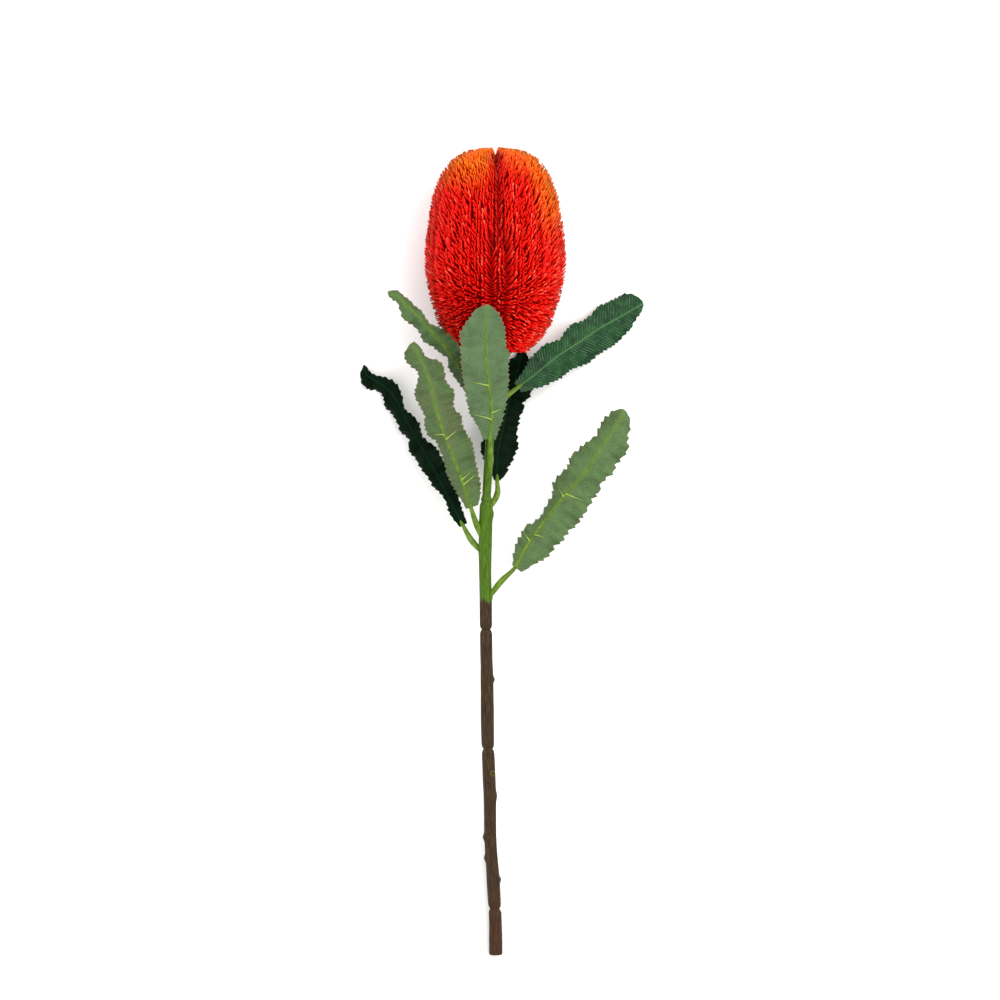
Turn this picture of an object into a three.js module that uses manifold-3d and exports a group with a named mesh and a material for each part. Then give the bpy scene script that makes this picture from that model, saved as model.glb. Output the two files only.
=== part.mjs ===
// A cut banksia flower, lying on a table as it would after picking.
//
// Pieces: one stem, which carries on inside the flower head as its woody axis; twenty-four rows of
// florets, standing round that axis; and seven saw-toothed leaves with their petioles.
//
// Millimetres. +Y runs along the stem from the cut end to the flower, +Z is up from the table and
// +X is across. The pieces are laid out from the centre of the cut end, and the finished group is
// then shifted so that its origin is the middle of its footprint, on the table.
import * as THREE from "three";
import Module from "manifold-3d";
import { mergeVertices } from "three/addons/utils/BufferGeometryUtils.js";

const wasm = await Module();
wasm.setup();

// ---------------------------------------------------------------- driving dimensions

const CLEARANCE = 0.4; // left between pieces that touch

const STEM_RADIUS = 4.3; // of the woody and the lower green stem
const NECK_RADIUS = 2.9; // of the thinner green stem below the flower
const STEM_SIDES = 10;
const STEM_STEP = 10;
const STEM_BEND = [
  // sideways drift of the stem's centre line, as [distance along the stem, drift]
  [0, 3.5],
  [24, 3.1],
  [55, 1.6],
  [80, 0],
  [112, -0.7],
  [147, -1.9],
  [190, -2.7],
  [240, -3.4],
  [290, -3.9],
  [320, -3.2],
  [348, -1.6],
  [390, 0.8],
  [424, 2.2],
  [568, 3.2],
];
const PINCHES = [34, 147, 231]; // where the woody stem narrows at an old joint
const PINCH_DEPTH = 0.38; // share of the radius that a pinch takes away
const PINCH_HALF_LENGTH = 2.4;
const NECK_START = 321; // where the green stem steps down to its thinner neck
const KNOTS = [
  // leaf scars on the stem, as [distance along it, angle round it in degrees, height]
  [53, -20, 1.0],
  [76, 200, 0.9],
  [93, 170, 0.8],
  [117, 0, 0.7],
  [194, 10, 1.3],
];

const HEAD_START = 424; // distance from the cut end to the lowest florets
const HEAD_LENGTH = 144;
const HEAD_PROFILE = [
  // outside of the flower head, as [distance above the lowest florets, radius]
  [0, 23],
  [10, 33],
  [32, 43.2],
  [66, 48.8],
  [92, 46.2],
  [114, 41.6],
  [130, 33.5],
  [140, 20.5],
  [144, 8],
];
const AXIS_RADIUS = 10.5; // the woody axis that the florets grow from
const AXIS_TOP = 120;
const CROWN_HOLLOW = 4; // radius of the dimple in the middle of the crown
const ROWS = 24;
const FLORET_STATIONS = [0, 5, 12, 22, 36, 52, 66, 80, 94, 107, 118, 127, 135, 141, HEAD_LENGTH];
const FURROW = 0.03; // share of the radius that is lost in the furrow between two rows
const ROW_CREST = 0.4; // share of a row's width that reaches the full radius
const ROW_DEPTH = 3; // the least depth of a row, on the crown
const FRONT_PARTING = 94; // degrees from +X towards +Z, where the deepest furrow runs

const BLADE_HALF_THICKNESS = 0.42;
const RIB_HEIGHT = 1.1; // of the raised midrib on the underside of a blade
const TOOTH_PITCH = 6.6;
const TOOTH_DEPTH = 1.6;
const TOOTHLESS_BASE = 0.125; // share of the blade over which the teeth grow to their full depth
const TIP_ROUNDING = 0.3; // share of the blade that narrows to the blunt tip
const LAST_STATION = 0.997; // share of the blade at which its tip is closed
const LEAST_MARGIN = 0.6; // half-width of a blade where it is narrowest
const BASE_TAPER = 0.083; // share of the blade over which the petiole flattens into it
const PETIOLE_RADIUS = 1.5;
const SLEEVE_SWELL = 0.9; // how much thicker the petiole is at its middle
const PETIOLE_STEPS = 6;
const PETIOLE_SIDES = 8;
const ROUTE_STEPS = 400; // parts in which the length of a leaf's route is measured
const BLADE_START = 2; // the point of a leaf's route at which its blade starts

// Each leaf, seen from above with its tip away from the stem. route: the rib's points, from
// inside the stem to the tip, of which the third is where the blade starts. left, right: how far
// each margin stands from the rib, at even steps from the blade's base to its tip. dip: how far
// each margin lies below the rib, at the same steps. shows: the face that is turned up.
const LEAVES = [
  {
    name: "leaf_front",
    shows: "underside",
    route: [
      [-1.2, 335, 34], [-0.2, 346, 39.5], [-0.6, 361, 47], [0.8, 377, 55], [-1.4, 399.5, 65.5],
      [-3.8, 422, 76.5], [-2.8, 455, 92.5],
    ],
    left: [4.5, 17, 18, 18, 15.5, 11],
    right: [4, 10, 14.5, 17, 16, 13],
    dip: { left: [0, 2, 1, 0, 0, 0], right: [0, 6, 4, 2, 1, 0] },
  },
  {
    name: "leaf_left_front",
    shows: "underside",
    route: [
      [-4, 287.5, 30], [-10.5, 303, 34], [-14, 313.5, 37.5], [-21.5, 336, 45], [-30.5, 358.5, 52],
      [-38, 381.5, 58], [-44, 405, 62], [-54.5, 429, 65],
    ],
    left: [3.5, 10, 7, 9, 8, 10],
    right: [3.5, 15, 17.5, 15.5, 13, 7],
    dip: { left: [0, 7, 11, 8, 7, 3], right: [0, -3, -1, -3, -4, -2] },
  },
  {
    name: "leaf_left_rear",
    shows: "upper face",
    route: [
      [-4, 280, 27], [-13.5, 290.5, 27], [-19.5, 301, 25.5], [-37, 334.5, 20], [-57.5, 371.5, 13.5],
      [-68.5, 392, 9], [-80, 402, 5.5], [-87, 406.5, 3.5], [-89.5, 413, 2],
    ],
    left: [1.5, 7, 8.5, 8, 8, 7],
    right: [1.5, 9, 9.5, 8.5, 7, 4],
    dip: { left: [0, 2, 4, 5, 4, 2], right: [0, -3, -6, -4, -3, -2] },
  },
  {
    name: "leaf_left_upper",
    shows: "underside",
    route: [
      [-1.5, 366, 35.5], [-4.5, 379, 38], [-7.5, 389, 41], [-17, 404.5, 47], [-32, 425.5, 54],
      [-50.5, 446.5, 57], [-65.5, 461, 55], [-72, 464.5, 53],
    ],
    left: [2, 10, 10.5, 9, 9.5, 8],
    right: [2, 9, 8, 6.5, 7.5, 6],
    dip: { left: [0, 4, 7, 7, 5, 2], right: [0, -2, -4, -3, -2, -1] },
  },
  {
    name: "leaf_rear",
    shows: "upper face",
    route: [
      [-2, 311, 30], [4.5, 323, 27], [4.5, 332.5, 25], [5, 350.5, 20], [8.5, 368, 15.5],
      [12.5, 385.5, 9], [17.5, 403, 4.5], [22.5, 424, 2.2],
    ],
    left: [2, 13, 13.5, 13, 12, 10],
    right: [2, 13, 13.5, 13.5, 13, 11],
    dip: { left: [0, -2, -2, -1, 0, 0], right: [0, 2, 2, 1, 0, 0] },
  },
  {
    name: "leaf_right_upper",
    shows: "upper face",
    route: [
      [0.6, 374, 36], [9, 389.5, 33.5], [19, 397.5, 31], [31.5, 407, 27], [45.5, 418.5, 21],
      [61.5, 429, 14], [77, 439.5, 8], [89.5, 446.5, 4], [107, 456.5, 1.5],
    ],
    left: [4, 12, 12.5, 13, 15, 16],
    right: [2, 11.5, 14.5, 16, 14, 10],
    dip: { left: [0, -2, -2, -1, 0, 0], right: [0, 2, 3, 3, 2, 0] },
  },
  {
    name: "leaf_right_front",
    shows: "underside",
    route: [
      [-3.5, 247.5, 26], [7, 261.5, 30], [17, 271.5, 32.5], [22.5, 282, 35], [30, 294, 38],
      [47, 316.5, 43.5], [64.5, 336.5, 48], [80, 359.5, 51], [94, 381.5, 52],
    ],
    left: [3.5, 10, 8.5, 15, 11, 15],
    right: [3.5, 18, 20, 17, 16.5, 13],
    dip: { left: [0, 8, 12, 5, 8, 2], right: [0, 1, -1, 2, 1, 0] },
  },
];

const COLOURS = {
  stem: 0x4f3d2c,
  florets: 0xd62410,
  underside: 0x66875f,
  upperFace: 0x1d4a2b,
};

// ---------------------------------------------------------------- where the stem and head lie

// The florets' outer radius at the head's widest place, measured down to the two rows that the
// head rests on. The stem's tilt is what brings both these rows and the cut end onto the table.
const restRadius = Math.max(...HEAD_PROFILE.map(([, radius]) => radius)) * Math.cos(Math.PI / ROWS);
const WIDEST = 66;
const TILT = Math.asin((restRadius - STEM_RADIUS) / (HEAD_START + WIDEST));

// Builds a smooth function from a few [position, value] pairs.
function smoothTable(pairs) {
  const curve = new THREE.SplineCurve(pairs.map(([at, value]) => new THREE.Vector2(at, value)));
  return (at) => {
    let index = pairs.findIndex(([position]) => position >= at);
    index = index < 0 ? pairs.length - 1 : Math.max(index, 1);
    const [from] = pairs[index - 1];
    const [to] = pairs[index];
    const share = THREE.MathUtils.clamp((at - from) / (to - from), 0, 1);
    return curve.getPoint((index - 1 + share) / (pairs.length - 1)).y;
  };
}

const stemDrift = smoothTable(STEM_BEND);
const headRadius = smoothTable(HEAD_PROFILE);

// Centre of the stem, or of the head's axis, at a distance along it from the cut end.
function stemCentre(along) {
  return new THREE.Vector3(
    stemDrift(along),
    along * Math.cos(TILT),
    STEM_RADIUS + along * Math.sin(TILT),
  );
}

const ACROSS = new THREE.Vector3(1, 0, 0);
const LIFT = new THREE.Vector3(0, -Math.sin(TILT), Math.cos(TILT)); // square to the stem, upwards

// A point at a radius and an angle round the stem; the angle runs from +X towards the top.
function aroundStem(along, radius, angle) {
  return stemCentre(along)
    .addScaledVector(ACROSS, radius * Math.cos(angle))
    .addScaledVector(LIFT, radius * Math.sin(angle));
}

// ---------------------------------------------------------------- solids

// Skins rings of equally many points into one closed solid, with a flat fan on each end.
function loft(rings) {
  const count = rings[0].length;
  const points = rings.flat();
  const faces = [];
  for (let i = 0; i + 1 < rings.length; i++) {
    for (let j = 0; j < count; j++) {
      const next = (j + 1) % count;
      const [a, b] = [i * count + j, i * count + next];
      faces.push(a, b, b + count, a, b + count, a + count);
    }
  }
  const lastRing = (rings.length - 1) * count;
  for (const [start, turned] of [[0, true], [lastRing, false]]) {
    const middle = points.slice(start, start + count).reduce((sum, p) => sum.add(p), new THREE.Vector3());
    points.push(middle.divideScalar(count));
    for (let j = 0; j < count; j++) {
      const [here, next] = [start + j, start + ((j + 1) % count)];
      faces.push(points.length - 1, ...(turned ? [next, here] : [here, next]));
    }
  }
  const geometry = new THREE.BufferGeometry().setFromPoints(points);
  geometry.setIndex(faces);
  return facingOut(geometry);
}

// Turns every face round if the closed geometry encloses a negative volume.
function facingOut(geometry) {
  const { position } = geometry.attributes;
  const index = geometry.index.array;
  const corner = (i) => new THREE.Vector3().fromBufferAttribute(position, index[i]);
  let volume = 0;
  for (let i = 0; i < index.length; i += 3) {
    volume += corner(i).dot(corner(i + 1).cross(corner(i + 2)));
  }
  if (volume < 0) {
    for (let i = 0; i < index.length; i += 3) [index[i], index[i + 1]] = [index[i + 1], index[i]];
  }
  return geometry;
}

// Turns a closed geometry into a manifold-3d solid.
function toSolid(geometry) {
  const merged = mergeVertices(geometry, 1e-4);
  return new wasm.Manifold(
    new wasm.Mesh({
      numProp: 3,
      vertProperties: merged.attributes.position.array,
      triVerts: new Uint32Array(merged.index.array),
    }),
  );
}

// Cuts one geometry out of another and keeps the largest piece that is left.
function carve(geometry, cutter) {
  const bodies = toSolid(geometry).subtract(toSolid(cutter)).decompose();
  const kept = bodies.reduce((best, body) => (body.volume() > best.volume() ? body : best));
  const mesh = kept.getMesh();
  const result = new THREE.BufferGeometry();
  result.setAttribute("position", new THREE.BufferAttribute(mesh.vertProperties, 3));
  result.setIndex(new THREE.BufferAttribute(mesh.triVerts, 1));
  return result;
}

// ---------------------------------------------------------------- stem

// Height of the leaf scars at a place on the stem's skin.
function knotHeight(along, angle) {
  return KNOTS.reduce((sum, [at, degrees, height]) => {
    const turn = Math.cos(angle - THREE.MathUtils.degToRad(degrees));
    return sum + height * Math.exp(-(((along - at) / 2.5) ** 2)) * Math.max(turn, 0) ** 6;
  }, 0);
}

// Radius of the bare stem, and above HEAD_START of the axis inside the head.
function stemRadius(along) {
  const blend = THREE.MathUtils.smoothstep;
  const aboveHead = along - HEAD_START;
  const pinch = PINCHES.reduce(
    (sum, at) => sum + PINCH_DEPTH * Math.exp(-(((along - at) / PINCH_HALF_LENGTH) ** 2)),
    0,
  );
  const intoNeck = blend(along, NECK_START - 2, NECK_START + 2);
  const green = THREE.MathUtils.lerp(STEM_RADIUS, NECK_RADIUS, intoNeck);
  const axis = THREE.MathUtils.lerp(green, AXIS_RADIUS, blend(aboveHead, -9, 5));
  return axis * (1 - pinch);
}

// Places along the stem that get a ring: an even step, and closer ones where the radius changes.
function stemStations() {
  const top = HEAD_START + AXIS_TOP;
  const even = Array.from({ length: Math.ceil(top / STEM_STEP) }, (_, i) => i * STEM_STEP);
  const close = [...PINCHES, NECK_START].flatMap((at) => [-4.5, -2, 0, 2, 4.5].map((step) => at + step));
  const flare = [-9, -5, -1, 5].map((step) => HEAD_START + step);
  const wanted = [...even, ...close, ...flare, top].sort((a, b) => a - b);
  return wanted.filter((at, i) => i === 0 || at - wanted[i - 1] > 1.2);
}

// The stem as a solid, grown by a clearance where it is used as a cutter.
function stemGeometry(clearance = 0) {
  const rings = stemStations().map((along) =>
    Array.from({ length: STEM_SIDES }, (_, side) => {
      const angle = (side / STEM_SIDES) * 2 * Math.PI;
      return aroundStem(along, stemRadius(along) + knotHeight(along, angle) + clearance, angle);
    }),
  );
  return loft(rings);
}

// ---------------------------------------------------------------- florets

// Radius at which the florets start: on the woody axis, and above it round the crown's dimple.
function floretRoot(height) {
  const closing = THREE.MathUtils.smoothstep(height, AXIS_TOP, HEAD_LENGTH);
  return THREE.MathUtils.lerp(AXIS_RADIUS + CLEARANCE, CROWN_HOLLOW, closing);
}

// One row of florets: a wedge from the axis to the outside, rounded between its two furrows.
function floretRowGeometry(row) {
  const halfTurn = Math.PI / ROWS;
  const middle = THREE.MathUtils.degToRad(FRONT_PARTING) + (2 * row + 1) * halfTurn;
  const rings = FLORET_STATIONS.map((height) => {
    const root = floretRoot(height);
    const tip = Math.max(headRadius(height), root + ROW_DEPTH);
    const edge = tip * (1 - FURROW);
    const point = (radius, share) => {
      const turn = share * (halfTurn - Math.asin(CLEARANCE / 2 / radius));
      return aroundStem(HEAD_START + height, radius, middle + turn);
    };
    return [
      point(root, -1),
      point(root, 1),
      point(edge, 1),
      point(tip, ROW_CREST),
      point(tip, -ROW_CREST),
      point(edge, -1),
    ];
  });
  return loft(rings);
}

// ---------------------------------------------------------------- leaves

// Builds a smooth function on 0 to 1 from values at even steps.
function smoothSteps(values) {
  return smoothTable(values.map((value, i) => [i / (values.length - 1), value]));
}

// How much of a blade's width is left at a share of its length, for a blunt tip.
function tipRounding(share) {
  return Math.sqrt(1 - Math.max((share - 1 + TIP_ROUNDING) / TIP_ROUNDING, 0) ** 2);
}

// Shares of the blade's length that get a cross-section: the peak and the foot of each tooth.
function bladeStations(bladeLength) {
  const teeth = Math.round(bladeLength / TOOTH_PITCH);
  const stations = Array.from({ length: teeth }, (_, i) => [
    { share: (i + 0.1) / teeth, depth: TOOTH_DEPTH },
    { share: (i + 0.65) / teeth, depth: 0 },
  ]).flat();
  return [...stations, { share: LAST_STATION, depth: 0 }];
}

// A petiole's cross-section: a circle round its centre line, from its right side over the top.
function petioleRing(centre, along, radius) {
  const right = new THREE.Vector3(along.y, -along.x, 0).normalize();
  const top = new THREE.Vector3().crossVectors(right, along);
  return Array.from({ length: PETIOLE_SIDES }, (_, i) => {
    const angle = (i / PETIOLE_SIDES) * 2 * Math.PI;
    return centre
      .clone()
      .addScaledVector(right, radius * Math.cos(angle))
      .addScaledVector(top, radius * Math.sin(angle));
  });
}

// A blade's cross-section, in the same order: two halves that meet at the rib.
function bladeRing(centre, along, margins, thickness, ribs) {
  const right = new THREE.Vector3(along.y, -along.x, 0).normalize();
  const [toRight, toLeft] = [
    right.clone().multiplyScalar(margins.right).setZ(-margins.rightDip),
    right.clone().multiplyScalar(-margins.left).setZ(-margins.leftDip),
  ];
  const rightFace = new THREE.Vector3().crossVectors(toRight, along).normalize();
  const leftFace = new THREE.Vector3().crossVectors(along, toLeft).normalize();
  const middleFace = rightFace.clone().add(leftFace).normalize();
  const at = (towards, share, face, height) =>
    centre.clone().addScaledVector(towards, share).addScaledVector(face, height);
  return [
    at(toRight, 1, rightFace, 0),
    at(toRight, 0.5, rightFace, thickness),
    at(toRight, 0, middleFace, thickness + ribs.top),
    at(toLeft, 0.5, leftFace, thickness),
    at(toLeft, 1, leftFace, 0),
    at(toLeft, 0.5, leftFace, -thickness),
    at(toRight, 0, middleFace, -thickness - ribs.bottom),
    at(toRight, 0.5, rightFace, -thickness),
  ];
}

// One leaf: a round petiole that spreads into a folded, saw-toothed blade with a raised rib.
function leafGeometry({ route, shows, left, right, dip }) {
  const points = route.map((point) => new THREE.Vector3(...point));
  const rib = new THREE.CatmullRomCurve3(points, false, "centripetal");
  const lengths = rib.getLengths(ROUTE_STEPS);
  const total = lengths.at(-1);
  const bladeStart = lengths[Math.round((BLADE_START / (route.length - 1)) * ROUTE_STEPS)] / total;
  const [leftAt, rightAt, leftDipAt, rightDipAt] = [left, right, dip.left, dip.right].map(smoothSteps);

  const petiole = Array.from({ length: PETIOLE_STEPS }, (_, i) => {
    const share = i / PETIOLE_STEPS;
    const radius = PETIOLE_RADIUS + SLEEVE_SWELL * Math.sin(Math.PI * share);
    return petioleRing(rib.getPointAt(bladeStart * share), rib.getTangentAt(bladeStart * share), radius);
  });

  const blade = bladeStations(total * (1 - bladeStart)).map(({ share, depth }) => {
    const at = bladeStart + (1 - bladeStart) * share;
    const rounding = tipRounding(share);
    const tooth = depth * rounding * Math.min(share / TOOTHLESS_BASE, 1);
    const margins = {
      left: Math.max(leftAt(share) * rounding - tooth, LEAST_MARGIN),
      right: Math.max(rightAt(share) * rounding - tooth, LEAST_MARGIN),
      leftDip: leftDipAt(share) * rounding,
      rightDip: rightDipAt(share) * rounding,
    };
    const thickness = Math.max(PETIOLE_RADIUS * (1 - share / BASE_TAPER), BLADE_HALF_THICKNESS);
    const ribHeight = RIB_HEIGHT * (1 - share);
    const ribs = shows === "underside" ? { top: ribHeight, bottom: 0 } : { top: 0, bottom: ribHeight };
    return bladeRing(rib.getPointAt(at), rib.getTangentAt(at), margins, thickness, ribs);
  });
  return loft([...petiole, ...blade]);
}

// ---------------------------------------------------------------- assembly

// Makes one named piece.
function piece(name, geometry, colour, roughness) {
  const material = new THREE.MeshStandardMaterial({ color: colour, roughness, metalness: 0 });
  const mesh = new THREE.Mesh(geometry, material);
  mesh.name = name;
  return mesh;
}

const flower = new THREE.Group();
flower.add(piece("stem", stemGeometry(), COLOURS.stem, 0.75));

for (let row = 0; row < ROWS; row++) {
  const number = String(row + 1).padStart(2, "0");
  flower.add(piece(`floret_row_${number}`, floretRowGeometry(row), COLOURS.florets, 0.5));
}

const stemCutter = stemGeometry(CLEARANCE);
for (const leaf of LEAVES) {
  const colour = leaf.shows === "underside" ? COLOURS.underside : COLOURS.upperFace;
  flower.add(piece(leaf.name, carve(leafGeometry(leaf), stemCutter), colour, 0.55));
}

// The origin is the middle of the footprint, on the table.
const box = new THREE.Box3().setFromObject(flower, true);
const middle = box.getCenter(new THREE.Vector3());
flower.position.set(-middle.x, -middle.y, -box.min.z);

export default flower;
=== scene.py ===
"""A cut banksia flower lying on a table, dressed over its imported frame.

The flower is laid out from the cut end of its stem: Y runs along the stem towards the flower head,
Z is up from the table and X is across. Lengths are millimetres until they are put in a mesh.
"""

import logging
import math
from contextlib import contextmanager
from dataclasses import dataclass
from enum import Enum
from typing import Callable, Iterator, Sequence

import bpy
import numpy as np
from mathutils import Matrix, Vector


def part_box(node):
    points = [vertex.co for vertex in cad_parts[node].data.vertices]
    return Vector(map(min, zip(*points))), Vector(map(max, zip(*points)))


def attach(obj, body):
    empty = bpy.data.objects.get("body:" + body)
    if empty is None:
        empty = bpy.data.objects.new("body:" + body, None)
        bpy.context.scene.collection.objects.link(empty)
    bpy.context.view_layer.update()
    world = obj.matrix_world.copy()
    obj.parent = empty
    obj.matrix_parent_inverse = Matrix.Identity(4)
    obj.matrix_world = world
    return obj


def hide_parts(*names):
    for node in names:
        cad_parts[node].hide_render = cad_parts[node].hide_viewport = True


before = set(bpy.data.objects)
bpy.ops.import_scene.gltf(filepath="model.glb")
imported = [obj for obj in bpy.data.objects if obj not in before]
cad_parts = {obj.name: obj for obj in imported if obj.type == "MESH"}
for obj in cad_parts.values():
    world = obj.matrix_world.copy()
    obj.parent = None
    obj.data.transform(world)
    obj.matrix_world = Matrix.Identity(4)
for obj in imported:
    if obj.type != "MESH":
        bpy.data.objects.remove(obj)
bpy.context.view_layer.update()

LOG = logging.getLogger("banksia")
MM = 0.001
BODY = "root"
UV_SCALE = 100.0  # millimetres of leaf that one unit of its UV map spans
VEIN_SLOPE = 0.62  # how far a side vein runs towards the tip for each millimetre that it runs out
TABLE_CLEARANCE = 0.1  # millimetres between the table and what lies on it
LEVEL = 1e-5  # heights closer than this are the same, on a cylinder of height 1

Array = np.ndarray
Pairs = Sequence[tuple[float, float]]
Piece = bpy.types.Object
Tree = bpy.types.NodeTree
Node = bpy.types.Node
Socket = bpy.types.NodeSocket


# ---------------------------------------------------------------- curves


def smooth_table(pairs: Pairs) -> Callable[[Array], Array]:
    """Makes a smooth function that passes through a few points.

    Args:
        pairs: Positions and their values, in rising order of position.

    Returns:
        A function from positions to values, flat beyond the first and the last point.
    """
    at, value = (np.array(column, float) for column in zip(*pairs))
    slope = np.gradient(value, at)

    def interpolate(where: Array) -> Array:
        where = np.clip(where, at[0], at[-1])
        span = np.clip(np.searchsorted(at, where, side="right") - 1, 0, len(at) - 2)
        width = at[span + 1] - at[span]
        share = (where - at[span]) / width
        start = (1 + 2 * share) * (1 - share) ** 2 * value[span]
        end = share**2 * (3 - 2 * share) * value[span + 1]
        leaving = share * (1 - share) ** 2 * width * slope[span]
        arriving = share**2 * (share - 1) * width * slope[span + 1]
        return start + end + leaving + arriving

    return interpolate


def smooth_steps(values: Sequence[float]) -> Callable[[Array], Array]:
    """Makes a smooth function on 0 to 1 from values at even steps."""
    last = len(values) - 1
    return smooth_table([(step / last, value) for step, value in enumerate(values)])


def smoothstep(low: float, high: float, where: Array) -> Array:
    """Rises smoothly from 0 at low to 1 at high."""
    share = np.clip((where - low) / (high - low), 0, 1)
    return share * share * (3 - 2 * share)


def unit(vectors: Array) -> Array:
    """Scales vectors to length 1."""
    return vectors / np.linalg.norm(vectors, axis=-1, keepdims=True)


class Route:
    """A smooth line through a few points, measured along its length."""

    STEPS = 40

    def __init__(self, points: Sequence[Sequence[float]]) -> None:
        """Samples a centripetal Catmull-Rom curve through the points."""
        knots = np.array(points, float)
        ends = [2 * knots[0] - knots[1], *knots, 2 * knots[-1] - knots[-2]]
        share = np.linspace(0, 1, self.STEPS, endpoint=False)[:, None]
        spans = []
        for a, b, c, d in zip(ends, ends[1:], ends[2:], ends[3:]):
            before, here, after = (np.linalg.norm(q - p) ** 0.5 for p, q in ((a, b), (b, c), (c, d)))
            leaving = here * ((b - a) / before - (c - a) / (before + here) + (c - b) / here)
            arriving = here * ((c - b) / here - (d - b) / (here + after) + (d - c) / after)
            cubic = 2 * b - 2 * c + leaving + arriving
            square = 3 * c - 3 * b - 2 * leaving - arriving
            spans.append(b + share * leaving + share**2 * square + share**3 * cubic)
        self.points = np.vstack([*spans, knots[-1:]])
        steps = np.linalg.norm(np.diff(self.points, axis=0), axis=1)
        self.distance = np.concatenate([[0], np.cumsum(steps)])
        self.length = float(self.distance[-1])

    def knot_distance(self, index: int) -> float:
        """Distance along the route to one of the points that it was made from."""
        return float(self.distance[index * self.STEPS])

    def at(self, distance: Array) -> Array:
        """Points at distances along the route."""
        return np.stack([np.interp(distance, self.distance, axis) for axis in self.points.T], -1)

    def along(self, distance: Array) -> Array:
        """Directions of travel at distances along the route."""
        reach = 1.5
        return unit(self.at(distance + reach) - self.at(distance - reach))


# ---------------------------------------------------------------- modelling


def select_only(*pieces: Piece) -> None:
    """Deselects everything, then selects the pieces and makes the first one active."""
    bpy.ops.object.select_all(action="DESELECT")
    for piece in pieces:
        piece.select_set(True)
    bpy.context.view_layer.objects.active = pieces[0]


@contextmanager
def edit_mode(piece: Piece, select: str = "SELECT") -> Iterator[None]:
    """Opens a piece in edit mode with all of it selected or deselected, and closes it again."""
    select_only(piece)
    bpy.ops.object.mode_set(mode="EDIT")
    bpy.ops.mesh.select_all(action=select)
    yield
    bpy.ops.object.mode_set(mode="OBJECT")


def new_piece(name: str) -> Piece:
    """Names the primitive that was added last and returns it."""
    piece = bpy.context.object
    piece.name = piece.data.name = name
    return piece


def points_of(piece: Piece) -> Array:
    """Vertex positions of a mesh."""
    points = np.empty(len(piece.data.vertices) * 3, np.float32)
    piece.data.vertices.foreach_get("co", points)
    return points.reshape(-1, 3).astype(float)


def set_points(piece: Piece, points: Array) -> None:
    """Moves every vertex of a mesh."""
    piece.data.vertices.foreach_set("co", points.astype(np.float32).ravel())
    piece.data.update()


def set_attribute(piece: Piece, name: str, values: Array) -> None:
    """Stores one number per vertex for the materials to read."""
    attribute = piece.data.attributes.new(name, "FLOAT", "POINT")
    attribute.data.foreach_set("value", values.astype(np.float32))


def apply_modifier(piece: Piece, kind: str, **settings: object) -> None:
    """Adds a modifier with its settings and applies it."""
    select_only(piece)
    modifier = piece.modifiers.new(kind.lower(), kind)
    for key, value in settings.items():
        setattr(modifier, key, value)
    bpy.ops.object.modifier_apply(modifier=modifier.name)


def join(name: str, *pieces: Piece) -> Piece:
    """Joins pieces into the first of them and names it."""
    if len(pieces) > 1:
        select_only(*pieces)
        bpy.ops.object.join()
    pieces[0].name = pieces[0].data.name = name
    return pieces[0]


def rest_on_table(piece: Piece) -> None:
    """Flattens whatever would dip under the table against it."""
    points = points_of(piece)
    points[:, 2] = np.maximum(points[:, 2], TABLE_CLEARANCE * MM)
    set_points(piece, points)


def smooth_shading(piece: Piece, degrees: float = 50) -> None:
    """Shades a piece smooth, apart from edges sharper than an angle."""
    select_only(piece)
    bpy.ops.object.shade_smooth_by_angle(angle=math.radians(degrees))


def ringed_cylinder(name: str, sides: int, rings: int) -> Piece:
    """Models a cylinder of radius 1, from Z 0 to 1, whose wall is cut into rings.

    Args:
        name: The piece's name.
        sides: Sides of the cylinder.
        rings: Rings of points from end to end.

    Returns:
        The piece.
    """
    bpy.ops.mesh.primitive_cylinder_add(vertices=sides, radius=1, depth=1, end_fill_type="TRIFAN")
    piece = new_piece(name)
    set_points(piece, points_of(piece) + np.array([0, 0, 0.5]))
    first = math.ceil(math.sqrt(rings))
    for parts in (first, math.ceil(rings / first)):
        cut_lengthwise_edges(piece, parts)
    return piece


def cut_lengthwise_edges(piece: Piece, parts: int) -> None:
    """Cuts every edge that runs along Z into equal parts."""
    heights = points_of(piece)[:, 2]
    with edit_mode(piece, "DESELECT"):
        bpy.ops.mesh.select_mode(type="EDGE")
    for edge in piece.data.edges:
        start, end = edge.vertices
        edge.select = bool(abs(heights[start] - heights[end]) > LEVEL)
    bpy.ops.object.mode_set(mode="EDIT")
    bpy.ops.mesh.subdivide(number_cuts=parts - 1)
    bpy.ops.object.mode_set(mode="OBJECT")


def sweep(
    piece: Piece,
    centres: Callable[[Array], Array],
    right: Callable[[Array], Array],
    top: Callable[[Array], Array],
    radii: Callable[[Array, Array], tuple[Array, Array]],
) -> None:
    """Lays a ringed cylinder along a line.

    Args:
        piece: The cylinder.
        centres: The line's points at shares from 0 to 1 of its length.
        right: Directions across the line at those shares.
        top: Directions up from the line at those shares.
        radii: Radii across and up, from the share and the angle round the line.
    """
    flat = points_of(piece)
    share = np.clip(flat[:, 2], 0, 1)
    angle = np.arctan2(flat[:, 1], flat[:, 0])
    across, up = radii(share, angle)
    points = (
        centres(share)
        + right(share) * (flat[:, 0] * across)[:, None]
        + top(share) * (flat[:, 1] * up)[:, None]
    )
    set_points(piece, points * MM)


# ---------------------------------------------------------------- materials


def linear(colour: str) -> tuple[float, float, float, float]:
    """Turns an sRGB hex colour into the linear colour that shaders work in."""
    parts = [int(colour[i : i + 2], 16) / 255 for i in (1, 3, 5)]
    return (*(p / 12.92 if p <= 0.04045 else ((p + 0.055) / 1.055) ** 2.4 for p in parts), 1.0)


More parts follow.
